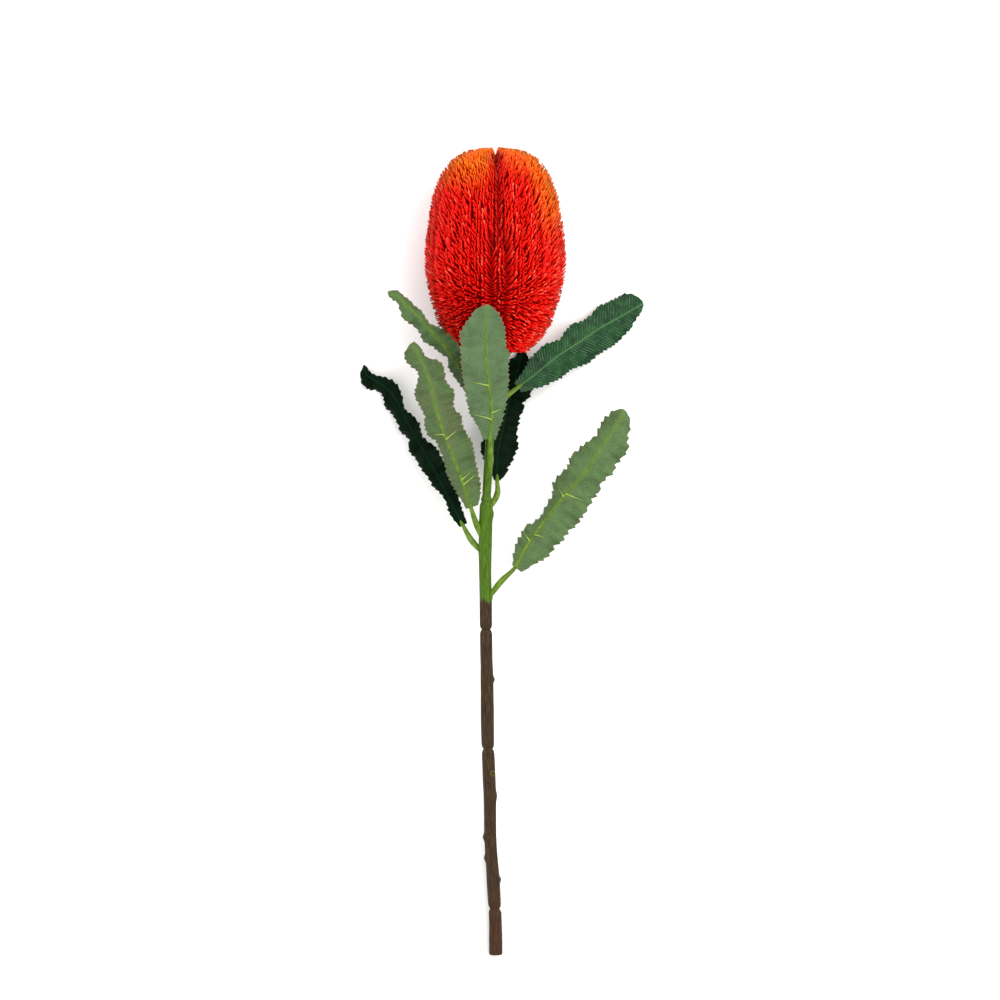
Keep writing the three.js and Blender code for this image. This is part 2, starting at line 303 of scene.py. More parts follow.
def connect(tree: Tree, node: Node, inputs: dict[str | int, object]) -> None:
    """Fills a node's inputs, each with another node's output socket or with a value."""
    for key, value in inputs.items():
        if isinstance(value, Socket):
            tree.links.new(value, node.inputs[key])
        else:
            node.inputs[key].default_value = value


def add_node(
    tree: Tree,
    kind: str,
    links: dict[str | int, object] | None = None,
    stops: Sequence[tuple[float, str]] = (),
    **settings: object,
) -> Node:
    """Adds a shader node.

    Args:
        tree: The material's node tree.
        kind: The node's type, without its ShaderNode prefix.
        links: What goes in each input: another node's output socket, or a value.
        stops: Positions and hex colours, if the node is a colour ramp.
        **settings: The node's own properties.

    Returns:
        The node.
    """
    node = tree.nodes.new(f"ShaderNode{kind}")
    for key, value in settings.items():
        setattr(node, key, value)
    connect(tree, node, links or {})
    for index, (position, colour) in enumerate(stops):
        ramp = node.color_ramp.elements
        stop = ramp[index] if index < 2 else ramp.new(position)
        stop.position, stop.color = position, linear(colour)
    return node


def maths(tree: Tree, operation: str, *values: object) -> Socket:
    """Adds a Math node and returns its output."""
    return add_node(tree, "Math", dict(enumerate(values)), operation=operation).outputs[0]


def blend_colour(
    tree: Tree, factor: object, low: object, high: object, mode: str = "MIX"
) -> Socket:
    """Mixes two colours by a factor and returns the mix."""
    sockets = {0: factor, 6: low, 7: high}
    return add_node(tree, "Mix", sockets, data_type="RGBA", blend_type=mode).outputs[2]


def ramp(
    tree: Tree, factor: object, *stops: tuple[float, str]
) -> Socket:
    """Turns a factor into a colour through a ramp and returns the colour."""
    return add_node(tree, "ValToRGB", {0: factor}, stops).outputs[0]


def between(
    tree: Tree, value: object, low: float, high: float
) -> Socket:
    """Rises smoothly from 0 at low to 1 at high."""
    links = {0: value, 1: low, 2: high, 3: 0.0, 4: 1.0}
    return add_node(tree, "MapRange", links, interpolation_type="SMOOTHSTEP").outputs[0]


def noise(
    tree: Tree, where: object, size_mm: float, detail: float = 3, rough: float = 0.55
) -> Socket:
    """Cloudy variation whose patches are about as large as a size, on metre coordinates."""
    links = {"Vector": where, "Scale": 1 / (size_mm * MM), "Detail": detail, "Roughness": rough}
    return add_node(tree, "TexNoise", links).outputs["Fac"]


def falling(tree: Tree, value: object, low: float, high: float) -> Socket:
    """Falls smoothly from 1 at low to 0 at high."""
    return maths(tree, "SUBTRACT", 1.0, between(tree, value, low, high))


def attribute(tree: Tree, name: str) -> Socket:
    """Reads a number that is stored on a piece's vertices."""
    return add_node(tree, "Attribute", attribute_name=name).outputs["Fac"]


def position(tree: Tree) -> Socket:
    """The shaded point's coordinates, in metres."""
    return add_node(tree, "TexCoord").outputs["Object"]


def set_surface(
    tree: Tree,
    shader: Node,
    colour: object,
    roughness: object,
    specular: float = 0.5,
    relief: tuple[object, float, float] | None = None,
) -> None:
    """Fills the inputs of a Principled shader.

    Args:
        tree: The material's node tree.
        shader: The shader.
        colour: The base colour.
        roughness: The roughness.
        specular: The strength of the reflections.
        relief: A height, how strongly it bumps and its depth in millimetres, if it has one.
    """
    inputs = {"Base Color": colour, "Roughness": roughness, "Specular IOR Level": specular}
    if relief:
        height, strength, depth = relief
        links = {"Height": height, "Strength": strength, "Distance": depth * MM}
        inputs["Normal"] = add_node(tree, "Bump", links).outputs[0]
    connect(tree, shader, inputs)


class Finish:
    """A surface finish, made into a material once and then shared."""

    made: dict["Finish", bpy.types.Material] = {}

    def shade(self, tree: Tree, shader: Node) -> None:
        """Sets up the Principled shader. Each finish has its own."""
        raise NotImplementedError

    def material(self) -> bpy.types.Material:
        """The material of this finish."""
        if self not in Finish.made:
            material = bpy.data.materials.new(self.name)
            material.use_nodes = True
            tree = material.node_tree
            self.shade(tree, tree.nodes["Principled BSDF"])
            Finish.made[self] = material
        return Finish.made[self]


@dataclass(frozen=True)
class StyleFinish(Finish):
    """Banksia styles: thin waxy threads, deep red, with painted shade where they crowd and a painted
    highlight on their glossy tips.
    """

    name: str = "banksia_styles"
    # Colour of the painted shade in the partings and on the lower left of the head.
    deep: str = "#6E0000"
    # Darker towards the root: painted shade where the styles crowd.
    root: str = "#A60000"
    middle: str = "#CC0200"
    tip: str = "#E81408"
    # Painted highlight on the glossy tips.
    painted_highlight_tip: str = "#FF5C44"
    orange_middle: str = "#DA3C00"
    orange_tip: str = "#E8760E"
    # Colour of the darker style tips: painted shade in the notch at the top of the head, and tips darkened
    # at random along its left and right outline.
    dark_tip: str = "#5B2A12"
    roughness: float = 0.42

    def shade(self, tree: Tree, shader: Node) -> None:
        """Colours each style from root to tip, by its own random colouring and by where it grows, with
        painted shade at its root and in the partings, painted light on the head's right side and a painted
        highlight on its tip.
        """
        reach, tone_and_light, orange, dark_tip, painted_shade = (
            attribute(tree, name)
            for name in ("reach", "tone_and_light", "orange", "dark_tip", "painted_shade")
        )
        red = ramp(tree, reach, (0.25, self.root), (0.62, self.middle), (0.95, self.tip))
        # The same ramp with a painted highlight on the tips, used for styles picked by their lightness.
        with_painted_highlight = ramp(tree, reach, (0.35, self.middle), (0.75, self.tip), (0.95, self.painted_highlight_tip))
        golden = ramp(tree, reach, (0.2, self.middle), (0.6, self.orange_middle), (0.9, self.orange_tip))
        red = blend_colour(tree, between(tree, tone_and_light, 0.45, 0.9), red, with_painted_highlight)
        colour = blend_colour(tree, orange, red, golden)
        # Painted shade: darkens the styles that stand in a parting, most at their roots.
        colour = blend_colour(tree, maths(tree, "MULTIPLY", painted_shade, 0.75), colour, linear(self.deep))
        shaded = blend_colour(tree, dark_tip, colour, linear(self.dark_tip))
        set_surface(tree, shader, shaded, self.roughness, 0.12)


@dataclass(frozen=True)
class BedFinish(Finish):
    """The felted bed that the styles stand in: dark, matt and almost lost in shadow."""

    name: str = "banksia_floret_bed"
    dark: str = "#6A0000"
    light: str = "#A80000"
    grain_mm: float = 1.4

    def shade(self, tree: Tree, shader: Node) -> None:
        """Mottles the bed with the shadows of crowded stalks."""
        place = position(tree)
        patch = noise(tree, place, self.grain_mm)
        colour = ramp(tree, patch, (0.35, self.dark), (0.7, self.light))
        set_surface(tree, shader, colour, 0.8, 0.1, (patch, 0.6, 0.8))


@dataclass(frozen=True)
class UndersideFinish(Finish):
    """The underside of a banksia leaf: grey-green felt between a net of raised veins."""

    name: str
    felt: str = "#4A6340"
    shade_green: str = "#33482A"
    vein: str = "#6F865C"
    lime: str = "#5F7A26"
    tint: str = "#54452F"
    tint_amount: float = 0.0
    edge: str = "#7A6A50"
    vein_pitch_mm: float = 1.7
    net_mm: float = 1.1

    def shade(self, tree: Tree, shader: Node) -> None:
        """Draws the side veins, the fine net between them and the pale glow along the rib."""
        across, along = blade_axes(tree)
        margin = attribute(tree, "margin")
        place = position(tree)
        blotch = noise(tree, place, 9)
        green = ramp(tree, blotch, (0.3, self.shade_green), (0.62, self.felt))
        aged = between(tree, noise(tree, place, 14), 0.42, 0.62)
        aged = maths(tree, "MULTIPLY", aged, self.tint_amount)
        green = blend_colour(tree, aged, green, linear(self.tint))
        veins = side_veins(tree, across, along, self.vein_pitch_mm)
        green = blend_colour(tree, maths(tree, "MULTIPLY", veins, 0.22), green, linear(self.vein))
        uv = add_node(tree, "UVMap", uv_map="Blade").outputs[0]
        cells = add_node(
            tree,
            "TexVoronoi",
            {"Vector": uv, "Scale": UV_SCALE / self.net_mm},
            feature="DISTANCE_TO_EDGE",
        ).outputs["Distance"]
        net = falling(tree, cells, 0.0, 0.22)
        green = blend_colour(tree, maths(tree, "MULTIPLY", net, 0.3), green, linear(self.vein))
        glow = falling(tree, across, 0.5, 3.0)
        green = blend_colour(tree, maths(tree, "MULTIPLY", glow, 0.35), green, linear(self.lime))
        colour = blend_colour(tree, between(tree, margin, 0.955, 0.99), green, linear(self.edge))
        raised_net = maths(tree, "MULTIPLY", net, 0.5)
        height = maths(tree, "ADD", raised_net, maths(tree, "MULTIPLY", veins, 0.8))
        set_surface(tree, shader, colour, 0.75, 0.25, (height, 0.35, 0.25))


@dataclass(frozen=True)
class UpperFaceFinish(Finish):
    """The upper face of a banksia leaf: dark leathery green under a waxy cuticle."""

    name: str
    green: str = "#1A4420"
    deep: str = "#0B2812"
    vein: str = "#4F7D52"
    midrib: str = "#3F6C38"
    edge: str = "#204A28"
    vein_pitch_mm: float = 2.2
    roughness: float = 0.45
    gloss: float = 0.14

    def shade(self, tree: Tree, shader: Node) -> None:
        """Draws sunken side veins with lit ridges between them, and a paler midrib."""
        across, along = blade_axes(tree)
        margin = attribute(tree, "margin")
        place = position(tree)
        blotch = noise(tree, place, 8)
        green = ramp(tree, blotch, (0.3, self.deep), (0.7, self.green))
        veins = side_veins(tree, across, along, self.vein_pitch_mm)
        broken = between(tree, noise(tree, place, 5), 0.38, 0.66)
        lit = maths(tree, "MULTIPLY", maths(tree, "MULTIPLY", veins, broken), 0.7)
        green = blend_colour(tree, lit, green, linear(self.vein))
        middle = falling(tree, across, 0.3, 0.75)
        green = blend_colour(tree, maths(tree, "MULTIPLY", middle, 0.75), green, linear(self.midrib))
        colour = blend_colour(tree, between(tree, margin, 0.96, 0.995), green, linear(self.edge))
        set_surface(tree, shader, colour, self.roughness, self.gloss, (veins, 0.5, 0.35))


@dataclass(frozen=True)
class RibFinish(Finish):
    """Leaf stalks and ribs: smooth lime-green stalk tissue, a little darker in streaks."""

    name: str = "leaf_rib"
    lime: str = "#62801A"
    green: str = "#435C10"
    roughness: float = 0.5

    def shade(self, tree: Tree, shader: Node) -> None:
        """Streaks the stalk lengthwise."""
        place = position(tree)
        colour = ramp(tree, noise(tree, place, 4), (0.35, self.green), (0.65, self.lime))
        set_surface(tree, shader, colour, self.roughness, 0.25)


@dataclass(frozen=True)
class StemFinish(Finish):
    """The stem's skin: brown lengthwise-fibred bark, then smooth waxy green nearer the flower."""

    name: str = "banksia_stem_skin"
    bark_dark: str = "#1C130A"
    bark: str = "#332414"
    bark_light: str = "#4E3A25"
    russet: str = "#451E14"
    green_dark: str = "#284002"
    green: str = "#3D5C05"
    green_light: str = "#547710"
    fibre_mm: float = 0.5
    scar_rim: str = "#4C4A0C"
    scar_rim_mm: tuple[float, float] = (1.1, 1.9)
    green_from_m: float = 0.0
    russet_below_m: float = 0.0
    scar: tuple[float, float, float] = (0.0, 0.0, 0.0)

    def shade(self, tree: Tree, shader: Node) -> None:
        """Runs bark into green at a ragged line, with fibres along the stem."""
        place = position(tree)
        height = add_node(tree, "SeparateXYZ", {0: place}).outputs[1]
        stretched = add_node(tree, "Mapping", {"Vector": place, "Scale": (1.0, 0.02, 1.0)}).outputs[0]
        fibres = noise(tree, stretched, self.fibre_mm, 4, 0.6)
        patches = noise(tree, place, 6)
        bark = ramp(tree, fibres, (0.32, self.bark_dark), (0.5, self.bark), (0.68, self.bark_light))
        low = falling(tree, height, self.russet_below_m - 0.03, self.russet_below_m)
        reddening = maths(tree, "MULTIPLY", low, between(tree, patches, 0.35, 0.6))
        bark = blend_colour(tree, maths(tree, "MULTIPLY", reddening, 0.45), bark, linear(self.russet))
        moved = add_node(tree, "Mapping", {"Vector": place, "Location": [-c for c in self.scar]})
        from_scar = add_node(tree, "VectorMath", {0: moved.outputs[0]}, operation="LENGTH").outputs["Value"]
        inner, outer = (edge * MM for edge in self.scar_rim_mm)
        in_rim = falling(tree, from_scar, outer, outer * 1.25)
        bark = blend_colour(tree, in_rim, bark, linear(self.scar_rim))
        in_scar = falling(tree, from_scar, inner * 0.8, inner)
        bark = blend_colour(tree, in_scar, bark, linear(self.bark_dark))
        green = ramp(tree, fibres, (0.3, self.green_dark), (0.5, self.green), (0.72, self.green_light))
        wander = maths(tree, "MULTIPLY_ADD", noise(tree, stretched, 1.6), 0.012, -0.006)
        edge = maths(tree, "ADD", height, wander)
        growing = between(tree, edge, self.green_from_m - 0.0012, self.green_from_m + 0.0012)
        colour = blend_colour(tree, growing, bark, green)
        rough = add_node(tree, "MapRange", {0: growing, 3: 0.72, 4: 0.45}).outputs[0]
        set_surface(tree, shader, colour, rough, 0.16, (fibres, 0.4, 0.3))


@dataclass(frozen=True)
class CutWoodFinish(Finish):
    """Fresh-cut wood across the grain: pale rings round a small pith."""

    name: str = "cut_stem_wood"
    pale: str = "#C9B287"
    ring: str = "#A5875A"
    ring_mm: float = 0.7
    centre: tuple[float, float, float] = (0.0, 0.0, 0.0)

    def shade(self, tree: Tree, shader: Node) -> None:
        """Draws growth rings round the middle of the cut."""
        place = position(tree)
        moved = add_node(tree, "Mapping", {"Vector": place, "Location": [-c for c in self.centre]})
        distance = add_node(tree, "VectorMath", {0: moved.outputs[0]}, operation="LENGTH").outputs["Value"]
        rings = maths(tree, "SINE", maths(tree, "MULTIPLY", distance, 2 * math.pi / (self.ring_mm * MM)))
        grain = maths(tree, "MULTIPLY_ADD", rings, 0.3, noise(tree, place, 0.8))
        set_surface(tree, shader, ramp(tree, grain, (0.3, self.ring), (0.7, self.pale)), 0.8)


@dataclass(frozen=True)
class PaperFinish(Finish):
    """The studio floor: seamless pale paper."""

    name: str = "studio_paper"
    colour: str = "#FBFBFA"

    def shade(self, tree: Tree, shader: Node) -> None:
        """Sets a plain matt colour."""
        set_surface(tree, shader, linear(self.colour), 0.9)


def blade_axes(tree: Tree) -> tuple[Socket, Socket]:
    """Distances on a blade in millimetres: out from the rib on either side, and along the rib."""
    uv = add_node(tree, "UVMap", uv_map="Blade").outputs[0]
    parts = add_node(tree, "SeparateXYZ", {0: uv})
    signed = maths(tree, "MULTIPLY", maths(tree, "SUBTRACT", parts.outputs[0], 0.5), UV_SCALE)
    return maths(tree, "ABSOLUTE", signed), maths(tree, "MULTIPLY", parts.outputs[1], UV_SCALE)


def side_veins(
    tree: Tree, across: object, along: object, pitch_mm: float
) -> Socket:
    """A herringbone of side veins: 1 on a vein and 0 between two."""
    start = maths(tree, "MULTIPLY_ADD", across, -VEIN_SLOPE, along)
    wave = maths(tree, "COSINE", maths(tree, "MULTIPLY", start, 2 * math.pi / pitch_mm))
    return between(tree, wave, 0.35, 1.0)


# ---------------------------------------------------------------- where the stem and head lie


@dataclass(frozen=True)
class Knot:
    """A leaf scar or bump on the stem: its place, its height and how far it spreads."""

    along: float
    degrees: float
    height: float
    spread: float = 2.5


@dataclass
class Skeleton:
    """The centre line of the stem and head, as the frame holds it, in millimetres.

    Distances are measured along the stem from its cut end. Layout coordinates have their origin
    under the cut end, and shift takes them to the frame's own.
    """

    stem_radius: float = 4.3
    neck_radius: float = 2.9
    head_start: float = 424
    head_radius: float = 48.8
    widest: float = 66
    axis_radius: float = 10.5
    axis_top: float = 120
    rows: int = 24
    drift: Pairs = (
        (0, 3.5), (24, 3.1), (55, 1.6), (80, 0), (112, -0.7), (147, -1.9), (190, -2.7),
        (240, -3.4), (290, -3.9), (320, -3.2), (348, -1.6), (390, 0.8), (424, 2.2), (568, 3.2),
    )

    def __post_init__(self) -> None:
        """Tilts the stem so that its cut end and its head lie on the table, and finds the frame.

        The frame's stem is ten-sided: its rings reach their full radius across, but only the sine
        of 72 degrees of it up and down.
        """
        rest = self.head_radius * math.cos(math.pi / self.rows) - self.stem_radius
        self.tilt = math.asin(rest / (self.head_start + self.widest))
        self.lift = np.array([0, -math.sin(self.tilt), math.cos(self.tilt)])
        self.forward = np.array([0, math.cos(self.tilt), math.sin(self.tilt)])
        self.drift_at = smooth_table(self.drift)
        self.shift = np.zeros(3)
        low, high = (np.array(corner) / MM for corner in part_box("stem"))
        reach = math.sin(math.radians(72))
        bend = self.centre(np.linspace(0, self.head_start, 400))[:, 0]
        top = self.centre(np.array([self.head_start + self.axis_top]))[0]
        self.shift = np.array(
            [
                low[0] - bend.min() + self.stem_radius,
                low[1] + self.stem_radius * reach * math.sin(self.tilt),
                high[2] - top[2] - self.axis_radius * reach * math.cos(self.tilt),
            ]
        )

    def centre(self, along: Array) -> Array:
        """Points on the centre line, in the frame's coordinates."""
        along = np.asarray(along, float)
        rise = self.stem_radius + along * math.sin(self.tilt)
        return np.stack([self.drift_at(along), along * math.cos(self.tilt), rise], -1) + self.shift

    def place(self, points: Sequence[Sequence[float]]) -> Array:
        """Takes layout points to the frame's coordinates."""
        return np.array(points, float) + self.shift


# ---------------------------------------------------------------- stem


@dataclass
class Stem:
    """The stem: woody below, green above, with a thinner green neck up into the flower head."""

    skeleton: Skeleton
    neck_start: float = 321
    green_start: float = 249
    russet_end: float = 60
    into_head: float = 30
    sides: int = 40
    ring_step: float = 0.7
    pinches: tuple[float, ...] = (32.5, 145, 229, 319)
    pinch_depth: float = 0.42
    pinch_length: float = 4.0
    flute_height: float = 0.2
    cut_chamfer: float = 0.5
    knots: tuple[Knot, ...] = (
        Knot(53, -20, 1.1, 2.2),
        Knot(68, 182, 1.0, 2.2),
        Knot(83, 182, 1.1, 2.4),
        Knot(112, 0, 0.9, 3.6),
        Knot(128, 55, 0.6, 1.6),
        Knot(194, 10, 1.5, 2.0),
        Knot(252, -10, 0.8, 2.6),
        Knot(286, 185, 0.9, 3.0),
        Knot(310, 5, 1.0, 3.2),
    )

    @property
    def leaf_scar(self) -> Knot:
        """The knot that an old leaf left, with a green rim round it."""
        return self.knots[4]

    def radius(self, along: Array, angle: Array) -> Array:
        """Radius of the skin: swellings, pinches, leaf scars and lengthwise flutes.

        Args:
            along: Distances from the cut end.
            angle: Angles round the stem, from its right side over the top.

        Returns:
            The radii in millimetres.
        """
        body = self.skeleton
        step = smoothstep(self.neck_start - 1.5, self.neck_start + 2.5, along)
        radius = body.stem_radius + (body.neck_radius - body.stem_radius) * step
        swelling = 0.16 * np.sin(along / 23 + 0.8) + 0.1 * np.sin(along / 9.5 + 2)
        radius = radius + swelling * (1 - step)
        for at in self.pinches:
            from_pinch = np.clip(np.abs(along - at) / self.pinch_length, 0, 1)
            shoulder = np.sqrt(1 - (1 - from_pinch) ** 2)
            radius = radius * (1 - self.pinch_depth * (1 - shoulder))
        for knot in self.knots:
            facing = np.maximum(np.cos(angle - math.radians(knot.degrees)), 0) ** 8
            radius = radius + knot.height * facing * np.exp(-(((along - knot.along) / knot.spread) ** 2))
        twist = angle + along / 160
        flutes = np.sin(7 * twist + 1.5 * np.sin(along / 31)) + 0.7 * np.sin(12 * twist + 2)
        grain = 0.3 * np.sin(19 * angle + along / 17.0)
        return radius + self.flute_height * (flutes + grain)

    def build(self) -> Piece:
        """Models the stem from a cylinder, bent along the centre line, with a chamfered cut end."""
        body = self.skeleton
        top = body.head_start + self.into_head
        piece = ringed_cylinder("banksia_stem", self.sides, round(top / self.ring_step))
        self.chamfer_end(piece)
        sweep(
            piece,
            lambda share: body.centre(share * top),
            lambda share: np.array([1.0, 0, 0]),
            lambda share: body.lift,
            lambda share, angle: (self.radius(share * top, angle),) * 2,
        )
        rest_on_table(piece)
        self.dress(piece)
        return piece

    def on_skin(self, knot: Knot) -> Array:
        """The point of the skin over a knot's middle."""
        body = self.skeleton
        angle = math.radians(knot.degrees)
        radius = self.radius(np.array([knot.along]), np.array([angle]))[0]
        outward = np.array([math.cos(angle), 0, 0]) + math.sin(angle) * body.lift
        return body.centre(np.array([knot.along]))[0] + radius * outward

    def chamfer_end(self, piece: Piece) -> None:
        """Rounds the rim of the cut end, which lies at the cylinder's foot."""
        flat = points_of(piece)
        rim = (flat[:, 2] < LEVEL) & (np.hypot(flat[:, 0], flat[:, 1]) > 0.5)
        flat[rim, :2] *= 1 - self.cut_chamfer / self.skeleton.stem_radius
        set_points(piece, flat)

    def dress(self, piece: Piece) -> None:
        """Gives the skin its bark and green, and the cut end its bare wood."""
        body = self.skeleton
        heights = body.centre(np.array([0, self.russet_end, self.green_start])) * MM
        skin = StemFinish(
            green_from_m=float(heights[2, 1]),
            russet_below_m=float(heights[1, 1]),
            scar=tuple(float(c) for c in self.on_skin(self.leaf_scar) * MM),
        )
        wood = CutWoodFinish(centre=tuple(float(c) for c in heights[0]))
        for finish in (skin, wood):
            piece.data.materials.append(finish.material())
        for face in piece.data.polygons:
            face.material_index = int(face.normal.y < -0.9)
        smooth_shading(piece)


# ---------------------------------------------------------------- leaves


class Face(Enum):
    """The face of a leaf that is turned up from the table."""

    UNDERSIDE = "underside"
    UPPER = "upper face"


FELT = UndersideFinish("leaf_underside_felt")
CUTICLE = UpperFaceFinish("leaf_upper_cuticle")


@dataclass(frozen=True)
class Spur:
    """A side vein that stands out from the rib: where it leaves, on which side, how long it is."""

    share: float
    side: int
    length: float


@dataclass
class Leaf:
    """One leaf: a stalk that spreads into a saw-toothed, wavy blade with a raised rib.

    It is seen from above with its tip away from the stem. Widths and dips are given at even steps
    from the blade's base to its tip, for the margin left of the rib and for the one right of it.
    """

    node: str
    shows: Face
    route: Sequence[Sequence[float]]
    left: Sequence[float]
    right: Sequence[float]
    left_dip: Sequence[float]
    right_dip: Sequence[float]
    underside: UndersideFinish = FELT
    upper_face: UpperFaceFinish = CUTICLE
    tooth_pitch: float = 5.0
    tooth_depth: float = 1.6
    waves: float = 6.0
    wave_height: float = 1.6
    phase: float = 0.0
    spurs: tuple[Spur, ...] = ()
    thickness: float = 0.6
    table_gap: float = 0.5
    tip_rounding: float = 0.07
    stalk_radius: float = 1.45
    sleeve_swell: float = 0.8
    rib_end: float = 0.93
    rib_sides: int = 14
    rib_ring_step: float = 0.9
    spur_sides: int = 8
    spur_rings: int = 12
    spur_radius: float = 0.6
    spur_rise: float = 0.4
    columns: int = 48
    row_step: float = 0.45
    vein_pitch: float = 2.3
    vein_height: float = 0.1

    def place(self, skeleton: Skeleton) -> None:
        """Finds where the leaf lies in the frame."""
        self.rib = Route(skeleton.place(self.route))
        self.base = self.rib.knot_distance(2)
        self.blade_length = self.rib.length - self.base
        widths = (self.left, self.right, self.left_dip, self.right_dip)
        self.left_at, self.right_at, self.left_dip_at, self.right_dip_at = map(smooth_steps, widths)

    def axes(self, distance: Array) -> tuple[Array, Array, Array]:
        """Directions along the rib, right of it and up from it, at distances along it."""
        along = self.rib.along(distance)
        flat = np.stack([along[..., 1], -along[..., 0], np.zeros_like(along[..., 0])], -1)
        right = unit(flat)
        return along, right, np.cross(right, along)

    def teeth(self, share: Array, side: Array) -> Array:
        """How far a margin stands back between two teeth, which point towards the tip."""
        turns = share * self.blade_length / self.tooth_pitch + 0.37 * side + self.phase
        turns = turns + 0.12 * np.sin(turns * 1.7)
        rise = turns - np.floor(turns)
        saw = np.where(rise < 0.8, (rise / 0.8) ** 1.4, (1 - rise) / 0.2)
        grown = np.minimum(share * 12, 1) * np.sqrt(np.clip((1 - share) * 14, 0, 1))
        size = 0.75 + 0.25 * np.sin(2.3 * np.floor(turns) + side)
        return self.tooth_depth * (1 - saw) * grown * size

    def surface(self, side: Array, share: Array) -> tuple[Array, Array]:
        """Lays the blade out.

        Args:
            side: Places across the blade, from -1 on the left margin to 1 on the right one.
            share: Places along it, from 0 at its base to 1 at its tip.

        Returns:
            The surface's points, and how far each lies from the rib within the surface.
        """
        distance = self.base + share * self.blade_length
        along, right, up = self.axes(distance)
        hand = np.sign(side)
        reach = np.abs(side)
        rounding = np.sqrt(1 - np.clip((share - 1 + self.tip_rounding) / self.tip_rounding, 0, 1) ** 2)
        width = np.where(side < 0, self.left_at(share), self.right_at(share)) * rounding
        width = np.maximum(width, 0.35)
        dip = np.where(side < 0, self.left_dip_at(share), self.right_dip_at(share)) * rounding
        margin = smoothstep(0.72, 1.0, reach)
        out = reach * width - margin * np.minimum(self.teeth(share, hand), 0.6 * width)
        turn = 2 * np.pi * self.waves * share + 2.1 * hand + 5 * self.phase
        grown = np.minimum(share * 5, 1) * np.minimum(width / 8, 1)
        wave = np.sin(turn) + 0.45 * np.sin(2.3 * turn + 1.1)
        pucker = 0.35 * np.sin(3.7 * turn + 2 * hand)
        sink = dip * reach**1.35 - 0.25 * dip * reach * (1 - reach)
        rise = self.wave_height * grown * (reach**1.6 * wave + reach * pucker) - sink
        fold = 0.4 * np.exp(-((out / 2.2) ** 2)) * (1 if self.shows is Face.UNDERSIDE else -1)
        points = self.rib.at(distance) + right * (hand * out)[..., None]
        points[..., 2] += rise + fold * np.minimum(share * 10, 1)
        points[..., 2] = np.maximum(points[..., 2], self.thickness + self.table_gap)
        slant = np.hypot(out, dip * reach)
        return points, hand * slant

    def relief(self, across: Array, share: Array) -> Array:
        """Height of the side veins above the blade, on the face that is turned up."""
        start = share * self.blade_length - VEIN_SLOPE * np.abs(across)
        wave = np.cos(2 * np.pi * start / self.vein_pitch)
        near_rib = smoothstep(0.3, 2.0, np.abs(across))
        raised = smoothstep(-0.2, 1.0, wave) - 0.4
        sign = 1 if self.shows is Face.UNDERSIDE else -1
        return sign * self.vein_height * raised * near_rib * np.minimum(share * 12, 1)

    def build_blade(self) -> Piece:
        """Models the blade from a flat grid: shaped, veined and given its thickness."""
        rows = round(self.blade_length / self.row_step)
        bpy.ops.mesh.primitive_grid_add(x_subdivisions=self.columns, y_subdivisions=rows, size=1)
        piece = new_piece(f"{self.node}_blade")
        flat = points_of(piece)
        column = np.rint((flat[:, 0] + 0.5) * self.columns).astype(int)
        row = np.rint((flat[:, 1] + 0.5) * rows).astype(int)
        side, share = np.meshgrid(
            np.linspace(-1, 1, self.columns + 1), np.linspace(0, 0.9995, rows + 1)
        )
        points, across = self.surface(side, share)
        normal = unit(np.cross(np.gradient(points, axis=1), np.gradient(points, axis=0)))
        points = points + normal * self.relief(across, share)[..., None]
        set_points(piece, points[row, column] * MM)
        margin = self.measure_margin(side, share, across)
        set_attribute(piece, "margin", margin[row, column])
        along = share * self.blade_length
        self.map_blade(piece, across[row, column], along[row, column])
        for finish in self.finishes():
            piece.data.materials.append(finish.material())
        apply_modifier(
            piece, "SOLIDIFY", thickness=self.thickness * MM, offset=-1, material_offset=1,
            material_offset_rim=0, use_even_offset=False,
        )
        return piece

    def measure_margin(self, side: Array, share: Array, across: Array) -> Array:
        """How close each point is to the margin or the tip: 1 on the very edge."""
        width = np.abs(across[:, [0, -1]]).max(axis=1, keepdims=True)
        inside = (1 - np.abs(side)) * width
        from_tip = (1 - share) * self.blade_length
        return 1 - np.clip(np.minimum(inside, from_tip) / 12, 0, 1)

    def map_blade(self, piece: Piece, across: Array, along: Array) -> None:
        """Gives the blade a UV map in real distances: out from the rib, and along it."""
        layer = piece.data.uv_layers[0]
        layer.name = "Blade"
        corners = np.empty(len(piece.data.loops), int)
        piece.data.loops.foreach_get("vertex_index", corners)
        uv = np.stack([across / UV_SCALE + 0.5, along / UV_SCALE], -1)[corners]
        layer.data.foreach_set("uv", uv.astype(np.float32).ravel())

    def finishes(self) -> tuple[Finish, Finish, Finish]:
        """The finishes of the face that is turned up, of the one below it, and of the rib."""
        faces = (self.underside, self.upper_face)
        return (*(faces if self.shows is Face.UNDERSIDE else faces[::-1]), RibFinish())

    def build_rib(self) -> Piece:
        """Models the stalk and the rib that it runs on into, along the blade's underside."""
        end = self.base + self.rib_end * self.blade_length
        piece = ringed_cylinder(f"{self.node}_rib", self.rib_sides, round(end / self.rib_ring_step))
        below = 1 if self.shows is Face.UNDERSIDE else -1

        def line(share: Array) -> Array:
            distance = share * end
            blade = np.clip((distance - self.base) / self.blade_length, 0, 1)
            surface, _ = self.surface(np.zeros_like(blade), blade)
            on_blade = smoothstep(self.base - 1, self.base + 5, distance)[:, None]
            points = self.rib.at(distance) * (1 - on_blade) + surface * on_blade
            drop = 0.0 if below > 0 else self.thickness + 0.6 * (1 - blade) ** 0.8
            points[:, 2] -= on_blade[:, 0] * drop
            return points

